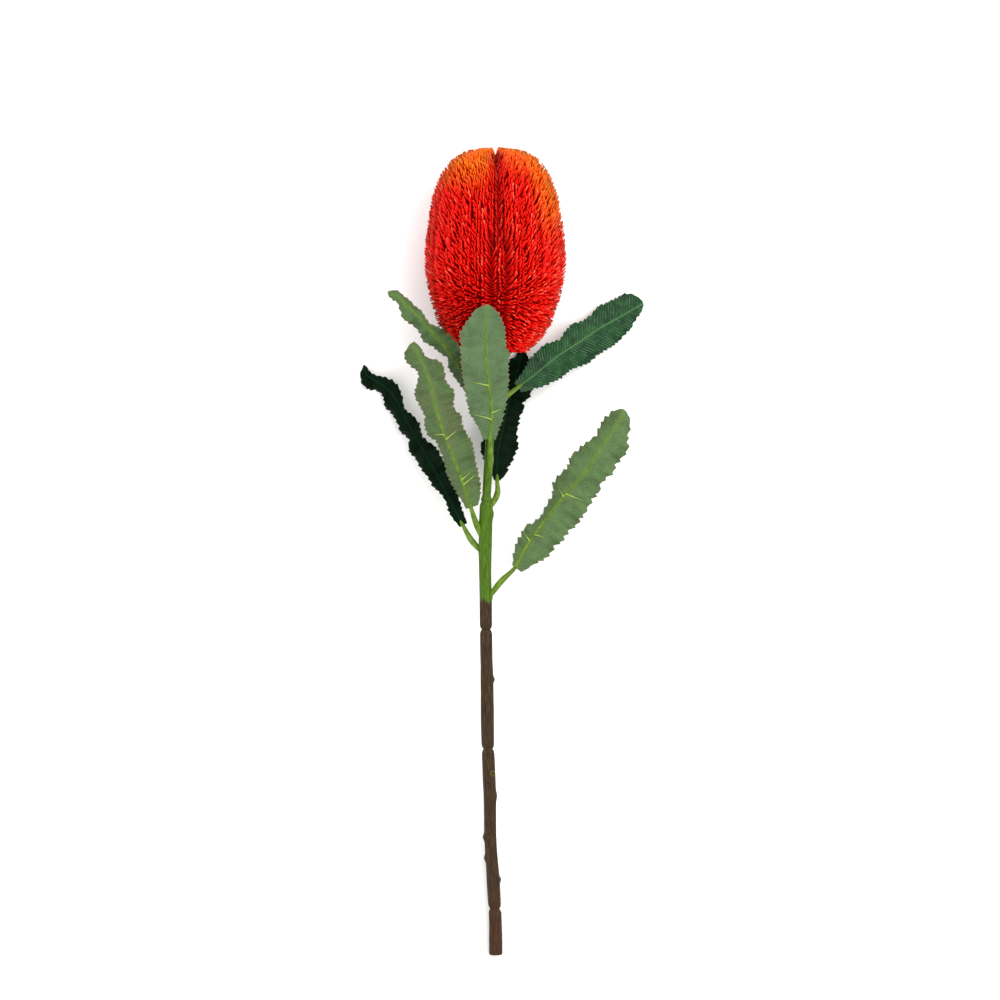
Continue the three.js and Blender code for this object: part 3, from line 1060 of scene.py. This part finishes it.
        def radii(share: Array, angle: Array) -> tuple[Array, Array]:
            distance = share * end
            swell = np.sin(np.pi * np.clip(distance / self.base, 0, 1)) ** 2
            stalk = self.stalk_radius + self.sleeve_swell * swell
            blade = np.clip((distance - self.base) / (end - self.base), 0, 1)
            on_blade = smoothstep(self.base - 2, self.base + 8, distance)
            width = stalk * (1 - on_blade) + on_blade * (0.95 * (1 - blade) ** 0.8 + 0.1)
            height = stalk * (1 - on_blade) + on_blade * (0.8 * (1 - blade) ** 0.8 + 0.1)
            return width, height

        sweep(piece, line, lambda s: self.axes(s * end)[1], lambda s: self.axes(s * end)[2], radii)
        return piece

    def build_spur(self, spur: Spur) -> Piece:
        """Models one side vein that stands out from the blade as a thin tapering thread."""
        piece = ringed_cylinder(f"{self.node}_spur", self.spur_sides, self.spur_rings)
        width = float((self.left_at if spur.side < 0 else self.right_at)(np.array([spur.share]))[0])

        def line(share: Array) -> Array:
            side = spur.side * np.clip(share * spur.length / width, 0, 0.95)
            along = spur.share + share * spur.length * VEIN_SLOPE * 0.6 / self.blade_length
            points, _ = self.surface(side, along)
            points[:, 2] += self.spur_rise
            return points

        middle = np.array([self.base + spur.share * self.blade_length])
        along, _, up = (axis[0] for axis in self.axes(middle))
        sweep(
            piece,
            line,
            lambda s: np.broadcast_to(along, (len(s), 3)),
            lambda s: np.broadcast_to(up, (len(s), 3)),
            lambda share, angle: (self.spur_radius * (1 - 0.8 * share),) * 2,
        )
        return piece

    def build(self, skeleton: Skeleton) -> Piece:
        """Models the whole leaf as one piece."""
        self.place(skeleton)
        blade = self.build_blade()
        ribs = [self.build_rib(), *(self.build_spur(spur) for spur in self.spurs)]
        # The spurs are paler than the rib: partly their own paler green, partly a painted highlight.
        spur_finish_with_highlight = RibFinish("leaf_spur_pale_with_highlight", lime="#9FAE52", green="#7F9638")
        finishes = [RibFinish(), *[spur_finish_with_highlight] * len(self.spurs)]
        for rib, finish in zip(ribs, finishes):
            with edit_mode(rib):
                bpy.ops.mesh.normals_make_consistent(inside=False)
            rib.data.materials.append(finish.material())
        leaf = join(f"banksia_{self.node}", blade, *ribs)
        rest_on_table(leaf)
        smooth_shading(leaf, 60)
        return leaf


def flower_leaves() -> list[Leaf]:
    """The seven leaves, from the front of the flower to its back."""
    warm_felt = UndersideFinish(
        "leaf_underside_felt_aged", felt="#40592B", shade_green="#2F431C", tint_amount=0.35
    )
    mid_felt = UndersideFinish("leaf_underside_felt_green", felt="#3F5D2D", shade_green="#29421E")
    # A darker copy of the upper-face finish: painted shade for the left rear leaf and for the rear leaf
    # under the flower head.
    olive_felt = UndersideFinish("leaf_underside_felt_olive", felt="#445F30", shade_green="#30441F")
    shaded = UpperFaceFinish(
        "leaf_upper_cuticle_painted_shade",
        green="#071B0C",
        deep="#030D05",
        vein="#0D2A14",
        midrib="#0E2C14",
        edge="#123118",
        gloss=0.03,
    )
    front = Leaf(
        node="leaf_front",
        shows=Face.UNDERSIDE,
        route=[
            [-1.2, 335, 34], [-0.2, 346, 39.5], [-0.6, 361, 47], [0.8, 377, 55], [-1.4, 399.5, 65.5],
            [-3.8, 422, 76.5], [-2.8, 455, 92.5],
        ],
        left=[
            4.5, 8, 11.5, 14.5, 16.5, 17, 17.5, 18, 18, 18,
            18, 18, 18, 18, 18.5, 18.5, 15.5, 12.5, 9.5, 6,
        ],
        right=[
            4, 5.5, 7, 8.5, 10, 11.5, 13, 14, 15, 15.5,
            16, 17, 18, 15.5, 15, 14.5, 14, 11.5, 9, 4.5,
        ],
        left_dip=[0, 2, 1, 0, 0, 0],
        right_dip=[0, 6, 4, 2, 1, 0],
        tooth_pitch=3.6,
        tooth_depth=1.9,
        waves=4.0,
        wave_height=0.7,
        spurs=(Spur(0.15, -1, 11), Spur(0.4, -1, 11), Spur(0.2, 1, 6)),
        vein_height=0.16,
    )
    left_front = Leaf(
        node="leaf_left_front",
        shows=Face.UNDERSIDE,
        route=[
            [-4, 287.5, 30], [-10.5, 303, 34], [-14, 313.5, 37.5], [-21.5, 336, 45], [-30.5, 358.5, 52],
            [-38, 381.5, 58], [-44, 405, 62], [-54.5, 429, 65],
        ],
        left=[3.5, 5, 7, 8, 9, 8.5, 7.5, 7.5, 7.5, 11.5, 12, 10, 11, 13, 12, 8, 6.5, 10, 10.5, 7.5],
        right=[
            5.5, 9.5, 12, 13, 14, 15, 16.5, 17, 15.5, 15,
            16, 13, 14.5, 15.5, 12, 13, 12, 4.5, 4, 2.5,
        ],
        left_dip=[0, 7, 11, 8, 7, 3],
        right_dip=[0, -3, -1, -3, -4, -2],
        underside=warm_felt,
        tooth_pitch=3.6,
        tooth_depth=1.7,
        waves=5.5,
        wave_height=3.0,
        phase=0.3,
        spurs=(Spur(0.14, 1, 11), Spur(0.17, 1, 7), Spur(0.42, 1, 9), Spur(0.45, -1, 6)),
    )
    left_rear = Leaf(
        node="leaf_left_rear",
        shows=Face.UPPER,
        route=[
            [-4, 280, 27], [-13.5, 290.5, 27], [-19.5, 301, 25.5], [-37, 334.5, 20], [-57.5, 371.5, 13.5],
            [-68.5, 392, 9], [-80, 402, 5.5], [-87, 406.5, 3.5], [-89.5, 413, 2],
        ],
        left=[2.5, 4.5, 5, 3.5, 5, 7, 7, 8.5, 8, 9.5, 6, 8, 7.5, 8, 10, 7.5, 5.5, 8.5, 6.5, 1],
        right=[3.5, 4.5, 6, 7.5, 9, 9, 9.5, 9, 9.5, 6, 5, 7.5, 5.5, 2.5, 5, 7.5, 7, 4, 3.5, 3],
        left_dip=[0, 2, 4, 5, 4, 2],
        right_dip=[0, -3, -6, -4, -3, -2],
        upper_face=shaded,
        tooth_pitch=4.2,
        tooth_depth=1.6,
        waves=6.5,
        wave_height=3.0,
        phase=0.6,
    )
    left_upper = Leaf(
        node="leaf_left_upper",
        shows=Face.UNDERSIDE,
        route=[
            [-1.5, 366, 35.5], [-4.5, 379, 38], [-7.5, 389, 41], [-17, 404.5, 47], [-32, 425.5, 54],
            [-50.5, 446.5, 57], [-65.5, 461, 55], [-72, 464.5, 53],
        ],
        left=[2, 4, 6, 7.5, 7.5, 7.5, 7.5, 4, 5.5, 6.5, 8, 9.5, 8, 7, 8.5, 9, 7, 4, 4.5, 4],
        right=[2, 4, 5.5, 7.5, 9, 8.5, 8.5, 8, 9.5, 10, 9, 6, 3, 3.5, 5, 4, 4, 3.5, 4, 0.5],
        left_dip=[0, 4, 7, 7, 5, 2],
        right_dip=[0, -2, -4, -3, -2, -1],
        underside=mid_felt,
        tooth_pitch=4.2,
        tooth_depth=1.5,
        waves=4.5,
        wave_height=2.6,
        phase=0.15,
    )
    rear = Leaf(
        node="leaf_rear",
        shows=Face.UPPER,
        route=[
            [-2, 311, 30], [4.5, 323, 27], [4.5, 332.5, 25], [5, 350.5, 20], [8.5, 368, 15.5],
            [12.5, 385.5, 9], [17.5, 403, 4.5], [22.5, 424, 2.2],
        ],
        left=[
            2, 5, 8, 10.5, 13, 13, 13.5, 13.5, 13.5, 13.5,
            13, 13, 13, 12.5, 12, 11.5, 10, 8.5, 5, 3,
        ],
        right=[
            2, 7, 9, 11.5, 12.5, 14, 13, 11.5, 10.5, 11,
            10.5, 12, 10.5, 13.5, 13.5, 12.5, 11, 9, 6.5, 3,
        ],
        left_dip=[0, -2, -2, -1, 0, 0],
        right_dip=[0, 2, 2, 1, 0, 0],
        upper_face=shaded,
        tooth_pitch=4.6,
        tooth_depth=1.9,
        waves=4.0,
        wave_height=1.6,
        phase=0.8,
    )
    right_upper = Leaf(
        node="leaf_right_upper",
        shows=Face.UPPER,
        route=[
            [0.6, 374, 36], [9, 389.5, 33.5], [19, 397.5, 31], [31.5, 407, 27], [45.5, 418.5, 21],
            [61.5, 429, 14], [77, 439.5, 8], [89.5, 446.5, 4], [107, 456.5, 1.5],
        ],
        left=[
            4, 6, 8, 10.5, 12, 12, 12.5, 10.5, 10, 12.5,
            14, 12.5, 11.5, 12.5, 14.5, 14, 13.5, 13.5, 12.5, 10.5,
        ],
        right=[
            4, 7, 9.5, 11.5, 13, 14.5, 14, 14, 15, 16.5,
            16, 15.5, 16, 16, 15.5, 13.5, 12, 8.5, 6, 3.5,
        ],
        left_dip=[0, -2, -2, -1, 0, 0],
        right_dip=[0, 2, 3, 3, 2, 0],
        tooth_pitch=3.7,
        tooth_depth=1.7,
        waves=4.0,
        wave_height=1.0,
        phase=0.4,
        vein_height=0.22,
    )
    right_front = Leaf(
        node="leaf_right_front",
        shows=Face.UNDERSIDE,
        route=[
            [-3.5, 247.5, 26], [7, 261.5, 30], [17, 271.5, 32.5], [22.5, 282, 35], [30, 294, 38],
            [47, 316.5, 43.5], [64.5, 336.5, 48], [80, 359.5, 51], [94, 381.5, 52],
        ],
        left=[2.5, 6, 8, 9, 9, 6, 5, 7, 8, 13.5, 13.5, 13, 15.5, 14.5, 13, 9.5, 10, 10.5, 9.5, 7.5],
        right=[
            5.5, 11, 15.5, 18, 18, 19.5, 19.5, 20.5, 20.5, 19.5,
            18, 17.5, 15, 17.5, 16.5, 17.5, 17, 12.5, 10, 7,
        ],
        left_dip=[0, 8, 12, 5, 8, 2],
        right_dip=[0, 1, -1, 2, 1, 0],
        underside=olive_felt,
        tooth_pitch=5.6,
        tooth_depth=2.6,
        waves=5.0,
        wave_height=2.2,
        phase=0.7,
        spurs=(Spur(0.16, -1, 7), Spur(0.2, 1, 7), Spur(0.47, 1, 13), Spur(0.45, -1, 5)),
    )
    return [front, left_front, left_upper, right_front, right_upper, left_rear, rear]


# ---------------------------------------------------------------- flower head


@dataclass(frozen=True)
class Groove:
    """A parting in the florets: its angle, how deep and wide it is, and the heights it spans."""

    degrees: float
    depth: float
    width: float
    start: float
    end: float


@dataclass
class FlowerHead:
    """The flower head: rows of florets, whose stiff styles stand out like the bristles of a brush."""

    skeleton: Skeleton
    profile: Pairs = (
        (0, 23), (10, 33), (32, 43.2), (66, 48.8), (92, 46.4), (114, 42), (129, 34.5),
        (138, 25), (142.2, 13), (143.4, 2),
    )
    front_parting: float = 94
    spacing: float = 2.5
    length: float = 15.0
    length_spread: float = 1.0
    thickness: float = 0.62
    bed_depth: float = 9.0
    row_groove: float = 2.4
    columns: int = 5
    notch_depth: float = 6.0
    notch_width: float = 1.3
    crowding: float = 0.62
    tip_drift: float = 0.28
    height_drift: float = 0.55
    direction_drift: float = 0.12
    style_sides: int = 5
    style_rings: int = 4
    crown: float = 138
    seed: int = 11
    grooves: tuple[Groove, ...] = (
        Groove(94, 5.5, 4.0, -10, 84),
        Groove(79, 6.0, 4.0, -10, 82),
        Groove(86.5, 6.5, 3.4, 84, 150),
    )

    def __post_init__(self) -> None:
        """Measures the outline of the head along its length."""
        self.radius_at = smooth_table(self.profile)
        top = self.profile[-1][0]
        crown = np.linspace(self.crown, top, 200)
        height = np.concatenate([np.linspace(0, self.crown, 500), crown[1:]])
        radius = self.radius_at(height)
        self.outline = np.stack([radius, height], -1)
        steps = np.linalg.norm(np.diff(self.outline, axis=0), axis=1)
        self.outline_length = np.concatenate([[0], np.cumsum(steps)])

    def from_row_edge(self, angle: Array) -> Array:
        """Distances from the nearest edge of a row, as shares of a row's width."""
        pitch = 2 * np.pi / self.skeleton.rows
        turns = (angle - math.radians(self.front_parting)) / pitch
        return np.abs(turns - np.rint(turns))

    def groove_depth(self, height: Array, angle: Array) -> Array:
        """How much lower the styles' tips lie in the partings than on the head's outline."""
        depth = self.row_groove * np.exp(-((self.from_row_edge(angle) / 0.16) ** 2))
        for groove in self.grooves:
            turn = (np.degrees(angle) - groove.degrees + 180) % 360 - 180
            arc = np.radians(turn) * np.maximum(self.radius_at(height), 12)
            held = smoothstep(groove.start - 12, groove.start + 6, height)
            held = held * (1 - smoothstep(groove.end - 6, groove.end + 12, height))
            depth = depth + groove.depth * held * np.exp(-((arc / groove.width) ** 2))
        return depth

    def tip_places(self, row: int, rng: np.random.Generator) -> tuple[Array, Array]:
        """Spreads a row's style tips over its share of the head, in staggered bands.

        Args:
            row: The row's number, from 0.
            rng: Source of the natural unevenness.

        Returns:
            The tips' heights above the lowest florets, and their angles round the head.
        """
        half = math.pi / self.skeleton.rows
        middle = math.radians(self.front_parting) + (2 * row + 1) * half
        total = self.outline_length[-1]
        heights, angles = [], []
        for column in range(self.columns):
            share = (column + 0.5) / self.columns - 0.5
            start = self.spacing * (0.5 if column % 2 else 1.0)
            for distance in np.arange(start, total, self.spacing):
                radius = np.interp(distance, self.outline_length, self.outline[:, 0])
                room = 2 * half * radius / self.columns
                if rng.random() > room / (self.crowding * self.spacing):
                    continue
                angles.append(middle + 2 * half * share + rng.normal(0, self.tip_drift) / max(radius, 4))
                height = np.interp(distance, self.outline_length, self.outline[:, 1])
                heights.append(height + rng.normal(0, self.height_drift))
        return np.array(heights), np.array(angles)

    def style_frames(self, height: Array, angle: Array, rng: np.random.Generator) -> tuple[Array, ...]:
        """Works out where each style ends and which way it points.

        Args:
            height: Heights of the tips above the lowest florets.
            angle: Angles of the tips round the head.
            rng: Source of the natural unevenness.

        Returns:
            The tips, the styles' directions at their tips, and their lengths.
        """
        body = self.skeleton
        step = 4.0
        slope = (self.radius_at(height + step) - self.radius_at(height - step)) / (2 * step)
        crown = smoothstep(126, 139, height)
        outward = np.stack([np.cos(angle), np.zeros_like(angle), np.zeros_like(angle)], -1)
        outward += np.sin(angle)[:, None] * body.lift
        round_head = np.cross(body.forward, outward)
        normal = unit(outward - slope[:, None].clip(-4, 0.3) * body.forward)
        rise = 0.1 + 1.6 * smoothstep(20, 95, height) - 0.6 * smoothstep(112, 140, height)
        turn = 1e-2
        after, before = (self.groove_depth(height, angle + way * turn) for way in (1, -1))
        gradient = (after - before) / (2 * turn)
        lean = -0.5 * np.tanh(gradient / 40)
        direction = normal + rise[:, None] * body.forward + lean[:, None] * round_head * -1
        direction = unit(unit(direction) + rng.normal(0, self.direction_drift, direction.shape))
        lengths = self.length + rng.normal(0, self.length_spread, len(height))
        depth = self.groove_depth(height, angle) + rng.exponential(1.0, len(height)) - 0.9
        radius = np.maximum(self.radius_at(height) - depth, 0.5)
        from_middle = radius * np.cos(angle)
        notch = self.notch_depth * crown * np.exp(-((from_middle / self.notch_width) ** 2))
        centre = body.centre(body.head_start + height - notch)
        return centre + radius[:, None] * outward, direction, lengths

    def model_style(self) -> Piece:
        """Models one style from a cone: slim, slightly curved, with a small blunt tip."""
        bpy.ops.mesh.primitive_cone_add(
            vertices=self.style_sides, radius1=1.0, radius2=0.45, depth=1, end_fill_type="TRIFAN"
        )
        piece = new_piece("style_pattern")
        set_points(piece, points_of(piece) + np.array([0, 0, 0.5]))
        cut_lengthwise_edges(piece, self.style_rings)
        points = points_of(piece)
        share = points[:, 2].clip(0, 1)
        girth = 1 - 0.35 * share + 0.25 * np.exp(-(((share - 0.9) / 0.12) ** 2))
        points[:, :2] *= (girth / (1 - 0.55 * share))[:, None]
        centre_tip = (share > 0.999) & (np.hypot(points[:, 0], points[:, 1]) < 0.05)
        points[centre_tip, 2] += 0.035
        set_points(piece, points)
        return piece

    def build_row(self, row: int, style: Piece, rng: np.random.Generator) -> Piece:
        """Copies the style to every place in a row, and sets the row in its bed."""
        height, angle = self.tip_places(row, rng)
        tips, direction, lengths = self.style_frames(height, angle, rng)
        pattern = points_of(style)
        faces = [tuple(face.vertices) for face in style.data.polygons]
        forward = np.broadcast_to(self.skeleton.forward, direction.shape)
        side = unit(np.cross(forward, direction) + 1e-6)
        over = np.cross(direction, side)
        girth = self.thickness * rng.uniform(0.85, 1.15, len(tips))
        share = pattern[:, 2]
        curve = 0.09 * (1 - share) ** 2
        points = (
            tips[:, None]
            + direction[:, None] * ((share - 1)[None, :, None] * lengths[:, None, None])
            + side[:, None] * (pattern[:, 0][None, :, None] * girth[:, None, None])
            + over[:, None] * (pattern[:, 1][None, :, None] * girth[:, None, None])
            + over[:, None] * (curve[None, :, None] * lengths[:, None, None])
        )
        count = len(pattern)
        mesh = bpy.data.meshes.new(f"banksia_florets_{row + 1:02d}")
        every = [tuple(v + copy * count for v in face) for copy in range(len(tips)) for face in faces]
        mesh.from_pydata((points.reshape(-1, 3) * MM).tolist(), [], every)
        piece = bpy.data.objects.new(mesh.name, mesh)
        bpy.context.scene.collection.objects.link(piece)
        piece.data.materials.append(StyleFinish().material())
        self.colour_row(piece, height, angle, share, rng)
        bed = self.build_bed(row)
        row_piece = join(mesh.name, piece, bed)
        rest_on_table(row_piece)
        smooth_shading(row_piece, 70)
        return row_piece

    def colour_row(
        self, piece: Piece, height: Array, angle: Array, share: Array, rng: np.random.Generator
    ) -> None:
        """Stores what the styles' finish reads.

        Args:
            piece: The row's styles.
            height: Heights of their tips above the lowest florets.
            angle: Angles of their tips round the head.
            share: Places along a style, from 0 at its root, one for each of its points.
            rng: Source of the natural unevenness.
        """
        count = len(share)
        sideways = np.cos(angle)
        facing = np.sin(angle)
        crown_left = smoothstep(112, 138, height) * smoothstep(0.02, -0.4, sideways) * 0.9
        shoulder = smoothstep(74, 118, height) * smoothstep(0.55, 0.95, sideways)
        crown_right = smoothstep(122, 142, height) * smoothstep(0.12, 0.5, sideways) * 0.6
        streak = 0.12 * smoothstep(0.6, 0.95, np.sin(angle * 24 + 1.0)) * smoothstep(10, 60, height)
        orange = np.maximum.reduce([crown_left, shoulder, crown_right, streak * 0.5])
        orange = np.clip(orange * rng.uniform(0.6, 1.25, len(height)), 0, 1)
        # Each style's own random lightness, with painted shade near the edges of its row and painted light
        # on the head's right side.
        ridge = smoothstep(0.1, 0.42, self.from_row_edge(angle))
        tone_and_light = rng.beta(1.5, 2.4, len(height)) * (0.3 + 0.9 * ridge) + 0.1 * sideways
        tone_and_light = np.clip(tone_and_light, 0, 1)
        # Darker tips: painted shade in the notch at the top, and tips darkened at random along the head's
        # left and right outline.
        notch = smoothstep(132, 144, height) * np.exp(-((sideways / 0.35) ** 2)) * (facing > 0)
        edge = smoothstep(0.8, 1.0, np.abs(sideways)) * rng.random(len(height))
        tip_darkening = np.clip(0.55 * notch[:, None] + edge[:, None] * smoothstep(0.9, 1.02, share)[None], 0, 1)
        set_attribute(piece, "reach", np.tile(share, len(height)))
        set_attribute(piece, "tone_and_light", np.repeat(tone_and_light, count))
        set_attribute(piece, "orange", np.repeat(orange, count))
        set_attribute(piece, "dark_tip", tip_darkening.ravel())
        # Painted shade in the partings between and across the rows, strongest at the styles' roots.
        depth = self.groove_depth(height, angle) / self.grooves[0].depth
        # Painted shadow over the lower left of the head.
        painted_shadow_low_left = 0.5 * smoothstep(70, 10, height) * smoothstep(0.1, -0.6, sideways)
        painted_shade = np.clip(np.maximum(depth - 0.25 * share[:, None], 0).T + painted_shadow_low_left[:, None], 0, 1)
        set_attribute(piece, "painted_shade", painted_shade.ravel())

    def build_bed(self, row: int) -> Piece:
        """Models the row's bed from its CAD wedge, drawn in below the styles' tips."""
        body = self.skeleton
        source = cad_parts[f"floret_row_{row + 1:02d}"]
        bed = bpy.data.objects.new("bed", source.data.copy())
        bpy.context.scene.collection.objects.link(bed)
        with edit_mode(bed):
            bpy.ops.mesh.remove_doubles(threshold=0.02 * MM)
        points = points_of(bed) / MM
        start = body.centre(np.array([body.head_start]))[0]
        height = (points - start) @ body.forward
        offset = points - body.centre(body.head_start + height)
        offset -= (offset @ body.forward)[:, None] * body.forward
        radius = np.linalg.norm(offset, axis=1)
        inward = self.bed_depth * np.clip((radius - 11) / 12, 0, 1)
        inward = np.where(radius > body.axis_radius + 2, inward, 0)
        squeezed = height - self.bed_depth * smoothstep(100, 144, height)
        points = body.centre(body.head_start + squeezed)
        points = points + offset * ((radius - inward) / radius)[:, None]
        set_points(bed, points * MM)
        bed.data.materials.clear()
        bed.data.materials.append(BedFinish().material())
        return bed

    def build(self) -> list[Piece]:
        """Models every row of florets."""
        rng = np.random.default_rng(self.seed)
        style = self.model_style()
        rows = [self.build_row(row, style, rng) for row in range(self.skeleton.rows)]
        bpy.data.objects.remove(style)
        return rows


# ---------------------------------------------------------------- studio


@dataclass(frozen=True)
class Softbox:
    """A square light that faces the flower: its place and its side in metres, its power in watts."""

    name: str
    place: tuple[float, float, float]
    side: float
    watts: float


@dataclass
class Studio:
    """A pale paper floor, soft lights above it and a camera that looks straight down."""

    floor_size: float = 6.0
    view_height: float = 0.7
    lens: float = 1000.0
    sensor: float = 36.0
    middle: tuple[float, float, float] = (-0.00175, 0.0357, 0.03)
    room_light: float = 1.1
    softboxes: tuple[Softbox, ...] = (
        Softbox("key_softbox", (0.9, 0.6, 1.8), 1.4, 28),
        Softbox("fill_softbox", (-1.3, -0.4, 1.6), 1.6, 8),
        Softbox("top_softbox", (0.1, 1.6, 1.3), 1.0, 6),
    )

    def build(self) -> None:
        """Sets up the floor, the lights and the camera."""
        self.build_floor()
        for softbox in self.softboxes:
            self.add_light(softbox)
        self.light_room()
        self.add_camera()

    def build_floor(self) -> None:
        """Lays the paper floor under the flower."""
        bpy.ops.mesh.primitive_plane_add(size=self.floor_size)
        floor = new_piece("studio_floor")
        floor.data.materials.append(PaperFinish().material())

    def add_light(self, softbox: Softbox) -> None:
        """Hangs a softbox."""
        bpy.ops.object.light_add(type="AREA", location=softbox.place)
        light = bpy.context.object
        light.name = softbox.name
        light.data.shape = "SQUARE"
        light.data.size = softbox.side
        light.data.energy = softbox.watts
        direction = Vector(self.middle) - Vector(softbox.place)
        light.rotation_euler = direction.to_track_quat("-Z", "Y").to_euler()

    def light_room(self) -> None:
        """Fills the room with even pale light, as white walls would."""
        world = bpy.data.worlds.new("pale_room")
        bpy.context.scene.world = world
        world.use_nodes = True
        background = world.node_tree.nodes["Background"]
        background.inputs["Color"].default_value = linear("#FFFFFF")
        background.inputs["Strength"].default_value = self.room_light
        bpy.context.scene.view_settings.view_transform = "Standard"

    def add_camera(self) -> None:
        """Looks straight down, with the flower head at the top of the picture."""
        distance = self.lens * self.view_height / self.sensor
        x, y, z = self.middle
        bpy.ops.object.camera_add(location=(x, y, z + distance), rotation=(0, 0, 0))
        camera = bpy.context.object
        camera.name = "overhead_camera"
        camera.data.lens = self.lens
        camera.data.sensor_width = self.sensor
        bpy.context.scene.camera = camera


# ---------------------------------------------------------------- assembly


def hand_over(piece: Piece, node: str) -> None:
    """Puts a finished piece in the place of its CAD node."""
    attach(piece, BODY)
    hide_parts(node)
    LOG.info("%s stands for %s with %d faces", piece.name, node, len(piece.data.polygons))


def main() -> None:
    """Builds the flower piece by piece, then the studio round it."""
    logging.basicConfig(level=logging.INFO, format="%(message)s")
    skeleton = Skeleton()
    hand_over(Stem(skeleton).build(), "stem")
    for leaf in flower_leaves():
        hand_over(leaf.build(skeleton), leaf.node)
    for number, row in enumerate(FlowerHead(skeleton).build(), start=1):
        hand_over(row, f"floret_row_{number:02d}")
    Studio().build()


if __name__ == "__main__":
    main()
